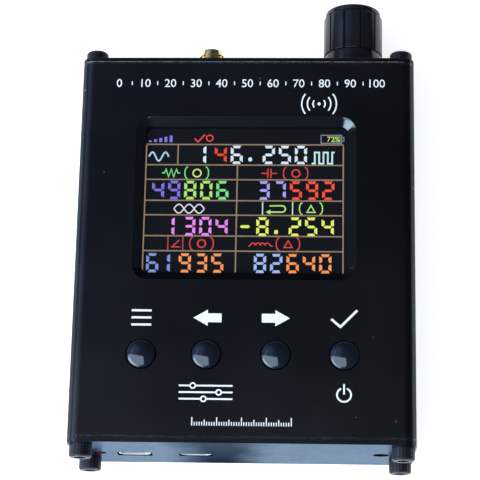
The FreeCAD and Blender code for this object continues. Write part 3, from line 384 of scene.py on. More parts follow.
def paintedShadeGroup():
    # Painted reflection and shade: a darker, less metallic, cloudy band across a sheet that stands in
    # for a dark reflection, a little weaker towards the front. Sheen is 1 outside it.
    tree, given, put = newGroup("paintedShadeBand", {
        "Colour": [0.5, 0.5, 0.5, 1], "PaintedDark": [0.011, 0.022, 0.042, 1], "Middle": -0.0055,
        "HalfWidth": 0.0028, "Fade": 0.013, "Wander": 0.012, "CloudScale": 70.0},
        {"Colour": "Color", "Sheen": "Float"})
    place = objectSpace(tree)
    spots = axesOf(tree, place)
    cloud = maths(tree, "SUBTRACT", noise(tree, place, given["CloudScale"], 4, 0.6), 0.5)
    across = maths(tree, "MULTIPLY_ADD", cloud, given["Wander"], spots["X"])
    offset = maths(tree, "ABSOLUTE", maths(tree, "SUBTRACT", across, given["Middle"]))
    past = maths(tree, "DIVIDE", maths(tree, "SUBTRACT", offset, given["HalfWidth"]),
                 given["Fade"], clamp=True)
    depth = ramp(tree, spots["Z"], paintedShadeDepth["back"], paintedShadeDepth["front"], 1.0,
                 paintedShadeDepth["atFront"], "LINEAR")
    within = maths(tree, "MULTIPLY", ramp(tree, past, 1, 0), depth)
    tree.links.new(blendColours(tree, within, given["Colour"], given["PaintedDark"]), put["Colour"])
    tree.links.new(maths(tree, "SUBTRACT", 1.0, within), put["Sheen"])
    return tree


surfaceFinish = surfaceGroup()
dustAndBurr = dustGroup()
paintedShadeBand = paintedShadeGroup()


def makeMaterial(name, colour, gloss=0.4, drift=0.25, driftScale=60.0, glossDrift=0.1,
                 grain=0.02, grainScale=9000.0, dusty=False, paintedShade=False, **constants):
    # The common finish. constants are set straight on the shader's sockets.
    material = bpy.data.materials.new(name)
    material.use_nodes = True
    tree = material.node_tree
    shader = tree.nodes["Principled BSDF"]
    finish = placeGroup(tree, surfaceFinish, Colour=tint(colour), Drift=drift, Gloss=gloss,
                        DriftScale=driftScale, GlossDrift=glossDrift, GrainScale=grainScale)
    shown = finish.outputs["Colour"]
    if dusty:
        shown = placeGroup(tree, dustAndBurr, Colour=shown).outputs["Colour"]
    # painted shade: a dark band of painted reflection laid on the sheet's colour and metal
    if paintedShade:
        band = placeGroup(tree, paintedShadeBand, Colour=shown)
        shown = band.outputs["Colour"]
        tree.links.new(band.outputs["Sheen"], shader.inputs["Metallic"])
    tree.links.new(shown, shader.inputs["Base Color"])
    tree.links.new(finish.outputs["Roughness"], shader.inputs["Roughness"])
    bump = newNode(tree, "Bump", Strength=grain, Distance=0.0001)
    tree.links.new(finish.outputs["Height"], bump.inputs["Height"])
    tree.links.new(bump.outputs[0], shader.inputs["Normal"])
    for label, value in constants.items():
        shader.inputs[label.replace("_", " ")].default_value = value
    return material


# Case

caseFinish = {"colour": "#404044", "gloss": 0.26, "drift": 0.8, "driftScale": 28.0,
              "grain": 0.05, "Metallic": 1.0, "Specular_Tint": (0.44, 0.53, 0.61, 1)}
bevelFinish = {"colour": "#0b0c0e", "gloss": 0.13, "glossDrift": 0.02, "drift": 0.3,
               "grain": 0.001, "Specular_IOR_Level": 0.9, "Specular_Tint": (0.72, 0.86, 1, 1)}
# painted shade: a matt copy of the bevel finish with no gloss, so the bevel's right and lower sides
# stay dark
shadedBevelFinish = {"colour": "#131417", "gloss": 0.5, "drift": 0.3, "Specular_IOR_Level": 0}
# painted shade: a darker and rougher copy of the anodising on the front cover's broken edges, which
# keeps their edge highlights down
shadedEdgeFinish = {"colour": "#1c1d20", "gloss": 0.5, "Metallic": 1.0,
              "Specular_Tint": (0.44, 0.53, 0.61, 1)}
plateFinish = {"colour": "#2b333e", "gloss": 0.26, "drift": 0.6, "driftScale": 120.0,
               "glossDrift": 0.12, "grain": 0.12, "Specular_IOR_Level": 0,
               "Specular_Tint": (0.53, 0.67, 0.85, 1)}
brokenEdge = {"case": 0.1, "plate": 0.12, "glass": 0.1, "nut": 0.12, "turned": 0.05,
              "socket": 0.06, "lens": 0.1, "plunger": 0.2}
# the window's bevel: heights, slope as the normal's z, and half width
windowBevel = {"floor": 27.0, "top": 28.99, "steepest": 0.5, "flattest": 0.9, "reach": 30}


def onBevel(centre, normal):
    # 0 is the cover's face, 1 the polished bevel, 3 its right and lower sides, which get a matt copy
    # with no gloss as painted shade.
    given = windowBevel
    within = given["floor"] < centre.z < given["top"] and abs(centre.x) <= given["reach"]
    if not within or not given["steepest"] < normal.z < given["flattest"]:
        return 0
    lowerSide = normal.y > 0.1
    rightSide = normal.x < 0 and abs(normal.y) < 0.05
    return 3 if lowerSide or rightSide else 1


def onSheetEdge(centre, normal):
    # 0 is the broad face of a plate, 1 its rim.
    return 0 if abs(normal.y) > 0.5 else 1


def addCase():
    anodised = makeMaterial("caseAnodised", dusty=True, **caseFinish)
    bevels = makeMaterial("bevelAnodised", **bevelFinish)
    # the end plates carry the painted shade band, a painted dark reflection
    plates = makeMaterial("plateAnodised", paintedShade=True, **plateFinish)
    # the front cover's broken edges take the darker edge copy, painted shade
    shadedEdge = makeMaterial("edgePaintedShade", **shadedEdgeFinish)
    shadedBevel = makeMaterial("bevelPaintedShade", **shadedBevelFinish)
    softCopy("front_cover", brokenEdge["case"], [anodised, bevels, shadedEdge, shadedBevel], split=onBevel,
             edges=2)
    softCopy("back_cover", brokenEdge["case"], [anodised])
    for node in ("top_end_plate", "bottom_end_plate"):
        softCopy(node, brokenEdge["plate"], [plates, anodised], split=onSheetEdge)


addCase()
say("case")


# Screws: cap heads with a ridged rim and a hexagon socket

screwSizes = {"radius": 2.75, "head": 3.0, "ridges": 24, "ridgeDepth": 0.09, "chamfer": 0.35,
              "socketFlats": 2.5, "socketDepth": 1.5, "shankRadius": 1.45, "shank": 8.0}


def capScrew():
    # Upright, with the underside of its head at height 0.
    given = screwSizes
    bm = bmesh.new()
    rim = bmesh.ops.create_circle(bm, segments=given["ridges"] * 2, radius=given["radius"])
    for vert in rim["verts"][::2]:
        vert.co *= 1 - given["ridgeDepth"] / given["radius"]
    ring = bm.edges[:]
    base = ring
    head, chamfer = given["head"], given["chamfer"]
    for rise, inset in ((head - chamfer, 0), (chamfer, chamfer)):
        grown = bmesh.ops.extrude_edge_only(bm, edges=ring)["geom"]
        tops = [item for item in grown if isinstance(item, bmesh.types.BMVert)]
        bmesh.ops.translate(bm, vec=(0, 0, rise), verts=tops)
        shrink = 1 - inset / given["radius"]
        bmesh.ops.scale(bm, vec=(shrink, shrink, 1), verts=tops)
        ring = [item for item in grown if isinstance(item, bmesh.types.BMEdge)
                and all(abs(vert.co.z - tops[0].co.z) < 1e-5 for vert in item.verts)]
    point = given["socketFlats"] / math.sqrt(3)
    hexagon = bmesh.ops.create_circle(bm, segments=6, radius=point)["verts"]
    bmesh.ops.translate(bm, vec=(0, 0, head), verts=hexagon)
    sides = list({edge for vert in hexagon for edge in vert.link_edges})
    cut = bmesh.ops.subdivide_edges(bm, edges=sides, cuts=given["ridges"] * 2 // 6 - 1)
    sides = list({item for item in cut["geom"] if isinstance(item, bmesh.types.BMEdge)})
    bmesh.ops.bridge_loops(bm, edges=ring + sides)
    walls = bmesh.ops.extrude_edge_only(bm, edges=sides)["geom"]
    deep = [item for item in walls if isinstance(item, bmesh.types.BMVert)]
    bmesh.ops.translate(bm, vec=(0, 0, -given["socketDepth"]), verts=deep)
    floor = [item for item in walls if isinstance(item, bmesh.types.BMEdge)
             and all(vert in deep for vert in item.verts)]
    bmesh.ops.edgeloop_fill(bm, edges=floor)
    bmesh.ops.edgeloop_fill(bm, edges=base)
    bmesh.ops.recalc_face_normals(bm, faces=bm.faces)
    shank = bmesh.new()
    bmesh.ops.create_cone(shank, cap_ends=True, segments=24, radius1=given["shankRadius"],
                          radius2=given["shankRadius"], depth=given["shank"])
    stand(shank, 0, 0, -given["shank"] / 2)
    return joined([bm, shank])


def addCaseScrews():
    steel = makeMaterial("blackOxide", "#303138", gloss=0.36, drift=0.5, driftScale=300.0,
                         Metallic=0.75, Specular_Tint=(0.85, 0.92, 1, 1))
    for group, towards in (("top_plate_screws", 1), ("bottom_plate_screws", -1)):
        low, high = boxOf(group)
        across = high.x - screwSizes["radius"]
        heights = (low.z + screwSizes["radius"], high.z - screwSizes["radius"])
        screws = [lay(capScrew(), x, z, plateFace * towards, towards)
                  for x in (-across, across) for z in heights]
        addPiece(group + "_shown", joined(screws), [steel], "root", [group])


addCaseScrews()
say("screws")


# Knob

knobSizes = {"flutes": 11, "betweenFlutes": 14, "fluteDepth": 0.42, "firstFlute": 14.4,
             "rim": 0.2, "skirt": 4.7, "skirtInset": 0.25, "skirtRound": 0.25, "footRound": 0.15,
             "recess": 6.3, "recessDepth": 3.6, "capRadius": 7.1, "capRound": 0.7,
             "capSteps": 6, "neckInset": 0.35, "neck": 0.25, "shoulder": 0.45, "spigot": 4.45,
             "spigotDepth": 1.5, "steps": 96}


def addKnob():
    gloss = makeMaterial("knobGloss", "#1d1d22", gloss=0.13, glossDrift=0.05, grain=0.01,
                         drift=0.4, driftScale=200.0, Specular_IOR_Level=0.4,
                         Specular_Tint=(0.8, 0.9, 1, 1))
    given = knobSizes
    low, high = boxOf("knob")
    axis = (low + high) / 2
    tip = boxOf("knob_cap")[1].y
    radius = (high.x - low.x) / 2
    skirtRadius, skirtTop = radius - given["skirtInset"], given["skirt"]
    skirtEnd = low.y + skirtTop
    body = bmesh.new()
    count = given["flutes"] * given["betweenFlutes"]
    ring = bmesh.ops.create_circle(body, cap_ends=True, segments=count, radius=radius)["verts"]
    for vert in ring[::given["betweenFlutes"]]:
        vert.co *= 1 - given["fluteDepth"] / radius
    # the first groove is turned from the back, where the circle starts, to beside the front
    bmesh.ops.rotate(body, matrix=Matrix.Rotation(math.radians(180 + given["firstFlute"]), 3, "Z"),
                     verts=body.verts)
    grown = bmesh.ops.extrude_face_region(body, geom=body.faces[:])["geom"]
    ends = [item for item in grown if isinstance(item, bmesh.types.BMVert)]
    bmesh.ops.translate(body, vec=(0, 0, high.y - skirtEnd), verts=ends)
    bmesh.ops.recalc_face_normals(body, faces=body.faces)
    rims = [edge for edge in body.edges if abs(edge.verts[0].co.z - edge.verts[1].co.z) < 1e-4]
    bmesh.ops.bevel(body, geom=rims, offset=given["rim"], segments=3, profile=0.5,
                    affect="EDGES", material=-1)
    lay(body, axis.x, axis.z, skirtEnd)
    recess, roof = given["recess"], given["recessDepth"]
    skirt = lathe([(0, roof), (recess, roof), (recess, 0), (skirtRadius, 0),
                   (skirtRadius, skirtTop), (0, skirtTop)], given["steps"],
                  [(3, given["footRound"]), (4, given["skirtRound"])])
    lay(skirt, axis.x, axis.z, low.y)
    addPiece("knob_shown", joined([body, skirt]), [gloss], "knob", ["knob"])
    capRadius, spigot, foot = given["capRadius"], given["spigot"], -given["spigotDepth"]
    neckRadius = capRadius - given["neckInset"]
    rise = tip - high.y
    cap = lathe([(0, foot), (spigot, foot), (spigot, 0), (neckRadius, 0),
                 (neckRadius, given["neck"]), (capRadius, given["shoulder"]), (capRadius, rise),
                 (0, rise)], given["steps"], [(6, given["capRound"])], given["capSteps"])
    lay(cap, axis.x, axis.z, high.y)
    addPiece("knob_cap_shown", cap, [gloss], "knob", ["knob_cap"])


addKnob()
say("knob")


# Antenna jack

jackSizes = {"pitch": 0.7056, "turnSteps": 36, "coreRadius": 2.86, "crest": 3.17,
             "tipRadius": 2.68, "bore": 2.1, "tipChamfer": 0.2, "boreRound": 0.15,
             "threadStart": 51.75, "threadEnd": 54.6, "coreEnd": 54.8, "tailRadius": 2.5,
             "bodyRadius": 3.15, "bodyStart": 45.5, "bodyEnd": 51.2, "hexFlats": 8, "hexDepth": 2,
             "hexMiddle": 46.5, "rootSunk": 0.08, "rootHalf": 0.31, "crestHalf": 0.05, "steps": 72}


def addJack():
    gold = makeMaterial("goldPlate", "#f4d69a", gloss=0.15, drift=0.25, driftScale=400.0,
                        glossDrift=0.1, Metallic=1.0)
    given = jackSizes
    low, high = boxOf("sma_jack")
    axis = middleOf("sma_contact")
    tail, tip = low.y, high.y
    bore, tailRadius, bodyRadius = given["bore"], given["tailRadius"], given["bodyRadius"]
    coreRadius, tipRadius = given["coreRadius"], given["tipRadius"]
    core = lathe([(bore, tail), (tailRadius, tail), (tailRadius, given["bodyStart"]),
                  (bodyRadius, given["bodyStart"]), (bodyRadius, given["bodyEnd"]),
                  (coreRadius, given["bodyEnd"]), (coreRadius, given["coreEnd"]),
                  (tipRadius, given["coreEnd"]), (tipRadius, tip), (bore, tip), (bore, tail)],
                 given["steps"], [(8, given["tipChamfer"]), (9, given["boreRound"])], 3)
    turns = (given["threadEnd"] - given["threadStart"]) / given["pitch"]
    ridge = bmesh.new()
    start = given["threadStart"]
    root, crest = coreRadius - given["rootSunk"], given["crest"]
    shape = [(root, -given["rootHalf"]), (crest, -given["crestHalf"]),
             (crest, given["crestHalf"]), (root, given["rootHalf"])]
    section = [ridge.verts.new((radius, 0, start + rise)) for radius, rise in shape]
    ridge.faces.new(section)
    steps = int(turns * given["turnSteps"])
    bmesh.ops.spin(ridge, geom=ridge.faces[:], axis=(0, 0, 1), angle=turns * math.tau,
                   steps=steps, dvec=(0, 0, turns * given["pitch"] / steps))
    closeShell(ridge)
    flange = bmesh.new()
    point = given["hexFlats"] / math.sqrt(3)
    bmesh.ops.create_cone(flange, cap_ends=True, segments=6, radius1=point, radius2=point,
                          depth=given["hexDepth"])
    stand(flange, 0, 0, given["hexMiddle"])
    jack = joined([core, ridge, flange])
    lay(jack, axis.x, axis.z)
    addPiece("sma_jack_shown", jack, [gold], "root", ["sma_jack"])
    for node in ("sma_washer", "sma_nut", "sma_contact"):
        softCopy(node, brokenEdge["nut" if node == "sma_nut" else "turned"], [gold])


addJack()
say("jack")


# Buttons

buttonSizes = {"flange": 4.4, "flangeThickness": 1.1, "radius": 3.4, "dome": 1.2, "edge": 0.18,
               "steps": 72, "domeSteps": 12}


def addButtons():
    gloss = makeMaterial("buttonGloss", "#151a24", gloss=0.09, glossDrift=0.05, grain=0.004,
                         drift=0.5, driftScale=250.0, Specular_IOR_Level=0.75,
                         Specular_Tint=(0.72, 0.86, 1, 1))
    given = buttonSizes
    for name in ("menu", "left", "right", "ok"):
        low, high = boxOf(name + "_button")
        middle = (low + high) / 2
        height = high.z - low.z
        edge = height - given["dome"]
        bulge = (given["radius"] ** 2 + given["dome"] ** 2) / (2 * given["dome"])
        side = math.degrees(math.asin(given["radius"] / bulge))
        dome = arc((0, height - bulge), bulge, 90 - side, 90, given["domeSteps"])
        profile = [(0, 0), (given["flange"], 0), (given["flange"], given["flangeThickness"]),
                   (given["radius"], given["flangeThickness"]), (given["radius"], edge)]
        cap = lathe(profile + dome[1:-1] + [(0, height)], given["steps"], [(4, given["edge"])])
        stand(cap, middle.x, middle.y, low.z)
        node = name + "_button"
        addPiece(node + "_shown", cap, [gloss], node, [node])


addButtons()
say("buttons")


# Screen

# millimetres for the place of the picture, display pixels for its lines
screen = {"pitch": 0.153, "left": -24.99, "top": 30.32, "thick": 0.02, "line": 2.2,
          "label": 1.9, "ring": 6.4, "ringLine": 2.3, "bow": 5}
inks = {"grid": "#96826a", "ice": "#dff0ff", "orange": "#f05030", "aqua": "#c8f5f5",
        "sky": "#b8d8ff", "violet": "#8080e8", "red": "#e04848", "outline": "#908aa8",
        "fill": "#2f7a2a", "lime": "#d8f080", "green": "#7cec88", "indigo": "#8878e8",
        "leaf": "#b4f078", "lilac": "#b0a8ff", "scarlet": "#ff5540", "white": "#f0e8ff",
        "pink": "#f090f8", "yellow": "#e8f870", "brick": "#c04850", "blue": "#8098e0",
        "pale": "#a8c0ff", "amber": "#ffa060", "mint": "#c8f0d0"}
inkOrder = list(inks)

# the seven bars of a numeral in a cell 20 wide and 32 high, and the two of a one
barShapes = {
    "a": [(3.4, 0.2), (16.6, 0.2), (15, 4.7), (5, 4.7)],
    "b": [(19.8, 3.4), (19.8, 14), (17.4, 14.8), (15, 12.6), (15, 6.4)],
    "c": [(19.8, 18), (19.8, 28.6), (15, 25.6), (15, 19.4), (17.4, 17.2)],
    "d": [(3.4, 31.8), (16.6, 31.8), (15, 27.3), (5, 27.3)],
    "e": [(0.2, 18), (0.2, 28.6), (5, 25.6), (5, 19.4), (2.6, 17.2)],
    "f": [(0.2, 3.4), (0.2, 14), (2.6, 14.8), (5, 12.6), (5, 6.4)],
    "g": [(3.4, 16), (5.8, 13.8), (14.2, 13.8), (16.6, 16), (14.2, 18.2), (5.8, 18.2)],
    "m": [(7.6, 4.4), (12.4, 1.4), (12.4, 14.6), (7.6, 12.6)],
    "n": [(7.6, 19.4), (12.4, 17.4), (12.4, 30.6), (7.6, 27.6)]}
barsOf = {"0": "abcdef", "1": "mn", "2": "abged", "3": "abgcd", "4": "fgbc", "5": "afgcd",
          "6": "afgecd", "7": "abc", "8": "abcdefg", "9": "abcdfg"}
# each row of numerals: height of its top, then (left edge, numeral, ink)
readings = [
    (25.5, [(85.5, "1", "ice"), (111.5, "4", "orange"), (137.5, "6", "ice"), (189.5, "2", "ice"),
            (215.5, "5", "ice"), (241.5, "0", "ice")]),
    (86, [(11.5, "4", "indigo"), (37.5, "9", "indigo"), (63.5, "8", "leaf"), (89.5, "0", "leaf"),
          (115.5, "6", "green"), (182, "3", "lilac"), (208, "7", "lilac"), (234, "5", "scarlet"),
          (260, "9", "scarlet"), (286, "2", "scarlet")]),
    (147, [(37.5, "1", "pink"), (63.5, "3", "pink"), (89.5, "0", "pink"), (115.5, "4", "pink"),
           (181, "8", "yellow"), (233, "2", "yellow"), (259, "5", "yellow"),
           (285.5, "4", "yellow")]),
    (208, [(6, "6", "blue"), (32, "1", "blue"), (58, "9", "amber"), (84, "3", "amber"),
           (110, "5", "amber"), (178, "8", "pale"), (204, "2", "pale"), (230, "6", "amber"),
           (256, "4", "amber"), (282, "0", "amber")])]


def wave(left, right, middle, swing, turns):
    shares = [i / 40 for i in range(41)]
    return [(left + (right - left) * share, middle - swing * math.sin(math.tau * turns * share))
            for share in shares]


def drawNumerals(bm):
    for top, cells in readings:
        for left, numeral, ink in cells:
            for bar in barsOf[numeral]:
                patch(bm, [(left + x, top + y) for x, y in barShapes[bar]],
                      inkOrder.index(ink))
    for x, y, ink in ((166.5, 46, "ice"), (210, 168.5, "yellow")):
        patch(bm, [(x + 1, y), (x + 5, y), (x + 6, y + 1.5), (x + 6, y + 5), (x + 5, y + 6.5),
                   (x + 1, y + 6.5), (x, y + 5), (x, y + 1.5)], inkOrder.index(ink))
    patch(bm, [(155, 163), (157.5, 160.6), (168.5, 160.6), (171, 163), (168.5, 165.4),
               (157.5, 165.4)], inkOrder.index("yellow"))


def drawGrid(bm):
    ink = inkOrder.index("grid")
    wide = screen["line"]
    patch(bm, [(-0.6, 22.9), (321.1, 22.9), (318.9, 25.1), (1.6, 25.1)], ink)
    lines = (59, 84, 119.5, 144, 179, 204, 240)
    for y in lines[:-1]:
        stroke(bm, [(1.6, y), (318.9, y)], wide, ink)
    stroke(bm, [(52, 25.1), (52, 57.9)], wide, ink)
    for upper, lower in zip(lines, lines[1:]):
        stroke(bm, [(149, upper + wide / 2), (149, lower - wide / 2)], wide, ink)
    stroke(bm, [(0.5, 25.1), (0.5, 236)], wide, ink)
    stroke(bm, [(320, 25.1), (320, 240)], wide, ink)


def bracketed(bm, left, right, top, low, ink):
    # A pair of round brackets.
    tall = (low - top) / 2
    middle = (top + low) / 2
    turns = [math.pi * step / 16 for step in range(-8, 9)]
    for x, way in ((left, screen["bow"]), (right, -screen["bow"])):
        curve = [(x + way * (1 - math.cos(turn)), middle + tall * math.sin(turn)) for turn in turns]
        stroke(bm, curve, screen["label"], inkOrder.index(ink))


def ringed(bm, x, y, ink):
    stroke(bm, arc((x, y), screen["ring"], 0, 345, 24), screen["ringLine"], inkOrder.index(ink),
           closed=True)


def drawLabels(bm):
    # Signs of the trade in place of words: a wave, a resistor, a capacitor, a coil and others.
    pen = screen["label"]
    ink = inkOrder.index
    stroke(bm, wave(5, 37, 45, 7.5, 1.5), 2.6, ink("sky"))
    pulses = [(269, 56), (274, 56), (274, 37), (281, 37), (281, 56), (288, 56), (288, 37),
              (295, 37), (295, 56), (302, 56), (302, 37), (306, 37)]
    stroke(bm, pulses, 2.8, ink("aqua"))
    zigzag = [(27, 73), (31, 73)] + [(33.5 + 4.2 * i, 66.5 if i % 2 == 0 else 79.5)
                                     for i in range(5)] + [(52.8, 73), (56.5, 73)]
    stroke(bm, zigzag, pen, ink("green"))
    bracketed(bm, 64, 102.5, 62.5, 83, "green")
    ringed(bm, 83.8, 73, "lime")
    for points in ([(188, 73), (197.4, 73)], [(198.4, 65), (198.4, 81)], [(203.4, 65), (203.4, 81)],
                   [(204.4, 73), (213.5, 73)]):
        stroke(bm, points, pen, ink("red"))
    bracketed(bm, 223.5, 263, 62.5, 83, "red")
    ringed(bm, 243.7, 73, "red")
    for swing in (7.5, -7.5):
        stroke(bm, wave(48, 97, 133.5, swing, 1.5), pen, ink("white"))
    for x, top, low, name in ((190.8, 121, 143, "mint"), (239, 121, 143, "mint"),
                              (40, 180.4, 202.8, "brick"), (64, 180.4, 202.8, "brick")):
        stroke(bm, [(x, top), (x, low)], pen, ink(name))
    stroke(bm, [(202, 128)] + arc((222, 133), 5.4, -85, 85, 10) + [(200, 138.4)],
           screen["ringLine"], ink("leaf"))
    patch(bm, [(196, 138.4), (203.5, 134.2), (203.5, 142.6)], ink("leaf"))
    bracketed(bm, 250, 287, 122.5, 142.5, "leaf")
    stroke(bm, [(262, 138.5), (268.5, 127), (275, 138.5)], pen, ink("leaf"), closed=True)
    stroke(bm, [(58.5, 186), (46.5, 197.5), (60, 197.5)], pen, ink("red"))
    bracketed(bm, 75, 113, 181.5, 202, "red")
    ringed(bm, 94, 191.7, "red")
    humps = [(169, 196)]
    for i in range(4):
        humps += arc((176.5 + 7.6 * i, 194), 3.8, 180, 360, 9)
    stroke(bm, humps + [(208, 196)], pen, ink("red"))
    bracketed(bm, 213.5, 251, 181.5, 202, "red")
    stroke(bm, [(226, 197.5), (232.5, 186), (239, 197.5)], pen, ink("red"), closed=True)


def drawStatus(bm):
    ink = inkOrder.index
    for i in range(5):
        x = 4 + 8.4 * i
        patch(bm, [(x, 17.5 - 2.2 * i), (x + 4.6, 17.5 - 2.2 * i), (x + 4.6, 20), (x, 20)],
              ink("violet"))
    stroke(bm, [(78, 13.5), (84, 19.5), (95, 7)], 2.6, ink("red"))
    stroke(bm, arc((103, 13), 5.2, 0, 345, 20), 2.2, ink("red"), closed=True)
    stroke(bm, [(284, 7.4), (317, 7.4), (317, 21.2), (284, 21.2)], 1.6, ink("outline"),
           closed=True)
    stroke(bm, [(317.9, 11), (320.8, 11), (320.8, 17.6), (317.9, 17.6)], 1.4, ink("outline"))
    patch(bm, [(302, 8.4), (316, 8.4), (316, 20.2), (302, 20.2)], ink("fill"))


def litGroup():
    # Glowing dots of a colour display: a fine square grid with dark joints and a slow drift.
    tree, given, put = newGroup("litPixels", {"Colour": [1, 1, 1, 1], "Pitch": 0.000153,
                                              "Joint": 0.16, "Dim": 0.45}, {"Colour": "Color"})
    place = objectSpace(tree)
    spots = axesOf(tree, place)
    shares = [maths(tree, "FRACT", maths(tree, "DIVIDE", spots[side], given["Pitch"]))
              for side in ("X", "Y")]
    dark = maths(tree, "MAXIMUM", *(maths(tree, "LESS_THAN", share, given["Joint"])
                                    for share in shares))
    drift = maths(tree, "MULTIPLY_ADD", noise(tree, place, 700.0, 2), 0.5, 0.8)
    joint = maths(tree, "SUBTRACT", 1.0, maths(tree, "MULTIPLY", dark, given["Dim"]))
    level = maths(tree, "MULTIPLY", drift, joint)
    tree.links.new(dimmed(tree, given["Colour"], level), put["Colour"])
    return tree


litPixels = litGroup()
glowFinish = {"Emission Strength": 1.0, "Base Color": (0.004, 0.004, 0.005, 1),
              "Roughness": 0.2, "Specular IOR Level": 0.2}


def litMaterial(name, code):
    material = bpy.data.materials.new("lit_" + name)
    material.use_nodes = True
    tree = material.node_tree
    shader = tree.nodes["Principled BSDF"]
    glow = placeGroup(tree, litPixels, Colour=tint(code))
    tree.links.new(glow.outputs["Colour"], shader.inputs["Emission Color"])
    for label, value in glowFinish.items():
        shader.inputs[label].default_value = value
    return material


def addScreen():
    glass = makeMaterial("screenGlass", "#111216", gloss=0.16, glossDrift=0.04, drift=0.3,
                         grain=0.004, Specular_IOR_Level=0.5)
    softCopy("display_glass", brokenEdge["glass"], [glass])
    top = boxOf("display_glass")[1].z
    bm = bmesh.new()
    drawGrid(bm)
    drawNumerals(bm)
    drawLabels(bm)
    drawStatus(bm)
    plain = bmesh.new()
    typed(plain, "72%", 304, 18.6, 9.4, inkOrder.index("lime"), -1)
    for marks, level in ((bm, 0.0), (plain, screen["thick"])):
        # display pixels, counted down from the upper left corner, become millimetres
        place = Matrix.Translation((screen["left"], screen["top"], top + level))
        scale = Matrix.Diagonal((screen["pitch"], -screen["pitch"], 1, 1))
        bmesh.ops.transform(marks, matrix=place @ scale, verts=marks.verts)
        thicken(marks, screen["thick"])
    lit = [litMaterial(name, inks[name]) for name in inkOrder]
    addPiece("screen_picture", joined([bm, plain]), lit)


addScreen()
say("screen")


# Printed marks on the front: signs and rulers, no words

printSizes = {"line": 0.52, "thin": 0.24, "thick": 0.03, "sunk": 0.01}
arrowShape = {"shaft": 1.1, "wing": 2, "head": 3.5}
sliders = {"left": -14.9, "right": -2.1, "ring": 0.62, "gap": 0.75, "line": 0.36,
           "knobs": ((-35.0, -11.6), (-36.6, -5.4), (-38.2, -9.0))}
powerSign = {"x": 24.3, "y": -36.9, "radius": 1.66, "barTop": -34.3, "barFoot": -36.8,
             "line": 0.42}
signalSign = {"x": 17.9, "y": 36.4, "reaches": (1.5, 2.9, 4.3), "spread": 38, "line": 0.36,
              "dot": 0.2}
rulerMarks = {"left": -11.6, "length": 23.5, "parts": 40, "foot": -44.6, "ten": 2.0,
              "five": 1.45, "one": 0.9}
scaleMarks = {"left": -32.0, "step": 6.4, "count": 11, "height": 40.8, "numeral": 2.2,
              "tickFoot": 41.3, "tickTop": 42.3}


def arrow(bm, tail, tip, middle):
    # A block arrow from tail to tip.
    shaft, wing = arrowShape["shaft"], arrowShape["wing"]
    neck = tip - math.copysign(arrowShape["head"], tip - tail)
    patch(bm, [(tail, middle - shaft), (neck, middle - shaft), (neck, middle - wing),
               (tip, middle), (neck, middle + wing), (neck, middle + shaft),
               (tail, middle + shaft)])


def drawKeySigns(bm):
    # Over the four buttons: bars, two arrows and a check mark. Below them: sliders and power.
    pen = printSizes["line"]
    for y in (-16.7, -18.45, -20.2):
        stroke(bm, [(-26.8, y), (-22.0, y)], pen)
    arrow(bm, -5.1, -11.9, -18.4)
    arrow(bm, 4.55, 11.3, -18.4)
    stroke(bm, [(21.2, -18.5), (23.4, -20.4), (27.4, -16.3)], pen + 0.06)
    given = sliders
    for y, knob in given["knobs"]:
        stroke(bm, [(given["left"], y), (knob - given["gap"], y)], pen * 0.8)
        stroke(bm, [(knob + given["gap"], y), (given["right"], y)], pen * 0.8)
        stroke(bm, arc((knob, y), given["ring"], 0, 340, 18), given["line"], closed=True)
    given = powerSign
    stroke(bm, arc((given["x"], given["y"]), given["radius"], 115, 425, 32), given["line"])
    stroke(bm, [(given["x"], given["barTop"]), (given["x"], given["barFoot"])], given["line"])


def drawSignalSign(bm):
    given = signalSign
    for side in (1, -1):
        for reach in given["reaches"]:
            fan = arc((0, 0), reach, -given["spread"], given["spread"], 10)
            stroke(bm, [(given["x"] + side * x, given["y"] + y) for x, y in fan], given["line"])
    stroke(bm, arc((given["x"], given["y"]), given["dot"], 0, 340, 12), 2 * given["dot"],
           closed=True)


def drawRuler(bm):
    given = rulerMarks
    for i in range(given["parts"] + 1):
        x = given["left"] + given["length"] * i / given["parts"]
        reach = given["ten" if i % 10 == 0 else "five" if i % 5 == 0 else "one"]
        stroke(bm, [(x, given["foot"]), (x, given["foot"] + reach)], printSizes["thin"])


def drawScale(bm):
    given = scaleMarks
    for i in range(given["count"]):
        x = given["left"] + given["step"] * i
        typed(bm, str(10 * i), x, given["height"], given["numeral"])
        if i < given["count"] - 1:
            between = x + given["step"] / 2
            stroke(bm, [(between, given["tickFoot"]), (between, given["tickTop"])],
                   printSizes["thin"])


def addPrint():
    paint = makeMaterial("printedWhite", "#f2f3f6", gloss=0.5, drift=0.1, driftScale=900.0,
                         grain=0.2, grainScale=20000.0)
    bm = bmesh.new()
    drawKeySigns(bm)
    drawSignalSign(bm)
    drawRuler(bm)
    drawScale(bm)
    stand(bm, 0, 0, frontFace - printSizes["sunk"])
    thicken(bm, printSizes["thick"] + printSizes["sunk"])
    addPiece("printed_marks", bm, [paint])


addPrint()
say("printed marks")


# Sockets, light and reset hole on the lower edge

def addLowerEdge():
    steel = makeMaterial("socketSteel", "#d6d8dc", gloss=0.4, drift=0.2, driftScale=500.0,
                         glossDrift=0.15, Metallic=0.55)
    for node in ("mini_usb_shell", "micro_usb_shell"):
        softCopy(node, brokenEdge["socket"], [steel])
    lens = makeMaterial("redLens", "#4e101b", gloss=0.3, drift=0.5, driftScale=900.0,
                        Specular_IOR_Level=0)
    softCopy("charge_led", brokenEdge["lens"], [lens], segments=3)
    black = makeMaterial("plungerBlack", "#17181b", gloss=0.35, grain=0.1)
    softCopy("reset_plunger", brokenEdge["plunger"], [black], "reset_plunger")


addLowerEdge()
say("lower edge")


# Everything inside

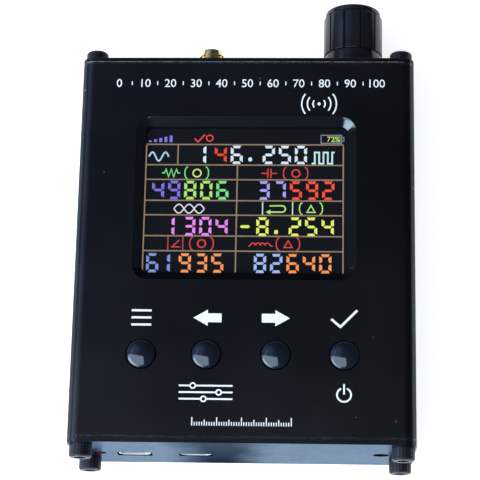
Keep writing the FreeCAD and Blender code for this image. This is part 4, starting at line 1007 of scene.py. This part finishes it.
insideFinishes = {
    "backlight_white": {"colour": "#dcdcd6", "gloss": 0.5, "grain": 0.1},
    "inner_black": {"colour": "#1b1b1d", "gloss": 0.5, "grain": 0.15, "grainScale": 5000.0},
    "flex_film": {"colour": "#a5631c", "gloss": 0.25, "drift": 0.3, "driftScale": 400.0},
    "board_mask": {"colour": "#0f4a25", "gloss": 0.3, "drift": 0.5, "driftScale": 700.0},
    "brass_pillar": {"colour": "#c9a257", "gloss": 0.3, "Metallic": 1.0, "driftScale": 500.0},
    "zinc_steel": {"colour": "#a9acb2", "gloss": 0.32, "Metallic": 1.0, "driftScale": 500.0},
    "tinplate": {"colour": "#bcbfc4", "gloss": 0.28, "Metallic": 1.0, "glossDrift": 0.25},
    "chip_epoxy": {"colour": "#202124", "gloss": 0.6, "grain": 0.3, "grainScale": 14000.0},
    "ptfe": {"colour": "#e6e4dc", "gloss": 0.35, "grain": 0.05},
    "zinc_alloy": {"colour": "#9ea0a4", "gloss": 0.38, "Metallic": 1.0, "grain": 0.2},
    "battery_foil": {"colour": "#b9bcc0", "gloss": 0.3, "Metallic": 0.9, "drift": 0.2,
                     "driftScale": 200.0, "glossDrift": 0.3},
    "foam_grey": {"colour": "#3c3d40", "gloss": 0.9, "grain": 0.9, "grainScale": 3000.0},
    "connector_nylon": {"colour": "#e2dcc6", "gloss": 0.45, "grain": 0.1},
    "wire_cover": {"colour": "#a0161a", "gloss": 0.35, "grain": 0.1}}


def dressInside():
    made = {slot: makeMaterial("inside_" + slot, **finish)
            for slot, finish in insideFinishes.items()}
    for name, node in nodes.items():
        if node.hide_render:
            continue
        material = made[slotOf[name]]
        if not node.data.materials:
            node.data.materials.append(material)
        for index in range(len(node.data.materials)):
            node.data.materials[index] = material


dressInside()
say("inside")


# Studio

# floor in metres; the sky runs from white at the horizon to dark, both as a share of the way up,
# with a blue haze on one side, in degrees
studio = {"floorRadius": 6, "floorSunk": 0.0001, "floorColour": "#d9d7d3", "floorGlow": 0.8,
          "skyLow": (1, 1, 1, 1), "skyHigh": (0.05, 0.06, 0.08, 1), "whiteBelow": 0.0,
          "darkAbove": 0.12, "haze": (0.25, 0.37, 0.62, 1), "hazeBearing": 150,
          "hazeHeight": 42, "hazeEdge": 40, "hazeCore": 10}
# bearing from +x towards +y, height and roll in degrees; distance and size in metres; watts
lamps = {
    "softbox": {"bearing": 220.8, "height": 45.2, "roll": 44.9, "distance": 1.0,
                "size": (1.9, 1.0), "power": 21, "colour": (0.84, 0.93, 1)},
    "window": {"bearing": 222, "height": 19, "roll": 0, "distance": 1.0, "size": (1.25, 0.44),
               "power": 9.5, "colour": (0.75, 0.88, 1)},
    "sideBox": {"bearing": 160, "height": 37, "roll": 0, "distance": 1.1, "size": (0.7, 0.26),
                "power": 0.3, "colour": (0.6, 0.85, 1)},
}


def heading(bearing, height):
    bearing, height = math.radians(bearing), math.radians(height)
    return Vector((math.cos(bearing) * math.cos(height), math.sin(bearing) * math.cos(height),
                   math.sin(height)))


def addFloor():
    bm = bmesh.new()
    bmesh.ops.create_circle(bm, cap_ends=True, segments=96, radius=studio["floorRadius"])
    stand(bm, 0, 0, -studio["floorSunk"])
    mesh = bpy.data.meshes.new("floor")
    bm.to_mesh(mesh)
    bm.free()
    floor = bpy.data.objects.new("floor", mesh)
    scene.collection.objects.link(floor)
    paper = bpy.data.materials.new("floorPaper")
    paper.use_nodes = True
    tree = paper.node_tree
    tree.nodes.clear()
    rays = newNode(tree, "LightPath").outputs
    seen = maths(tree, "ADD", rays["Is Camera Ray"], rays["Is Glossy Ray"])
    seen = maths(tree, "ADD", seen, rays["Is Transmission Ray"], clamp=True)
    glow = newNode(tree, "Emission")
    tree.links.new(maths(tree, "MULTIPLY", seen, studio["floorGlow"]), glow.inputs["Strength"])
    matt = newNode(tree, "BsdfDiffuse", Color=tint(studio["floorColour"]))
    both = newNode(tree, "AddShader")
    tree.links.new(matt.outputs[0], both.inputs[0])
    tree.links.new(glow.outputs[0], both.inputs[1])
    out = newNode(tree, "OutputMaterial")
    tree.links.new(both.outputs[0], out.inputs["Surface"])
    mesh.materials.append(paper)


def addSky():
    world = bpy.data.worlds.new("studio")
    scene.world = world
    world.use_nodes = True
    tree = world.node_tree
    towards = newNode(tree, "TexCoord").outputs["Generated"]
    rise = ramp(tree, axesOf(tree, towards)["Z"], studio["whiteBelow"], studio["darkAbove"])
    shade = blendColours(tree, rise, studio["skyLow"], studio["skyHigh"])
    facing = newNode(tree, "VectorMath", operation="DOT_PRODUCT")
    facing.inputs[1].default_value = heading(studio["hazeBearing"], studio["hazeHeight"])
    tree.links.new(towards, facing.inputs[0])
    edge, core = (math.cos(math.radians(studio[name])) for name in ("hazeEdge", "hazeCore"))
    shade = blendColours(tree, ramp(tree, facing.outputs["Value"], edge, core), shade,
                         studio["haze"])
    tree.links.new(shade, tree.nodes["Background"].inputs["Color"])


def addLamps():
    target = middleOf("front_cover") * mm
    for name, lamp in lamps.items():
        light = bpy.data.lights.new(name, "AREA")
        light.shape = "RECTANGLE"
        light.size, light.size_y = lamp["size"]
        light.energy = lamp["power"]
        light.color = lamp["colour"]
        item = bpy.data.objects.new(name, light)
        away = heading(lamp["bearing"], lamp["height"])
        item.location = target + away * lamp["distance"]
        aim = (-away).to_track_quat("-Z", "Y").to_matrix()
        roll = Matrix.Rotation(math.radians(lamp["roll"]), 3, "Z")
        item.rotation_euler = (aim @ roll).to_euler()
        scene.collection.objects.link(item)


# millimetres for the lens and the film, metres for the place, radians for the turns
shot = {"lens": 135.66, "film": 36, "near": 0.01, "far": 20, "lean": 0.28581, "swing": 0.04708,
        "roll": 0.00626, "place": (0.01963, -0.12264, 0.45010)}


def addCamera():
    view = bpy.data.cameras.new("camera")
    view.lens = shot["lens"]
    view.sensor_width = shot["film"]
    view.clip_start = shot["near"]
    view.clip_end = shot["far"]
    item = bpy.data.objects.new("camera", view)
    turn = (Matrix.Rotation(-shot["roll"], 3, "Z") @ Matrix.Rotation(-shot["swing"], 3, "Y")
            @ Matrix.Rotation(-shot["lean"], 3, "X"))
    item.matrix_world = turn.transposed().to_4x4()
    item.location = shot["place"]
    scene.collection.objects.link(item)
    scene.camera = item


addFloor()
addSky()
addLamps()
addCamera()
scene.view_settings.view_transform = "Standard"
say("studio")
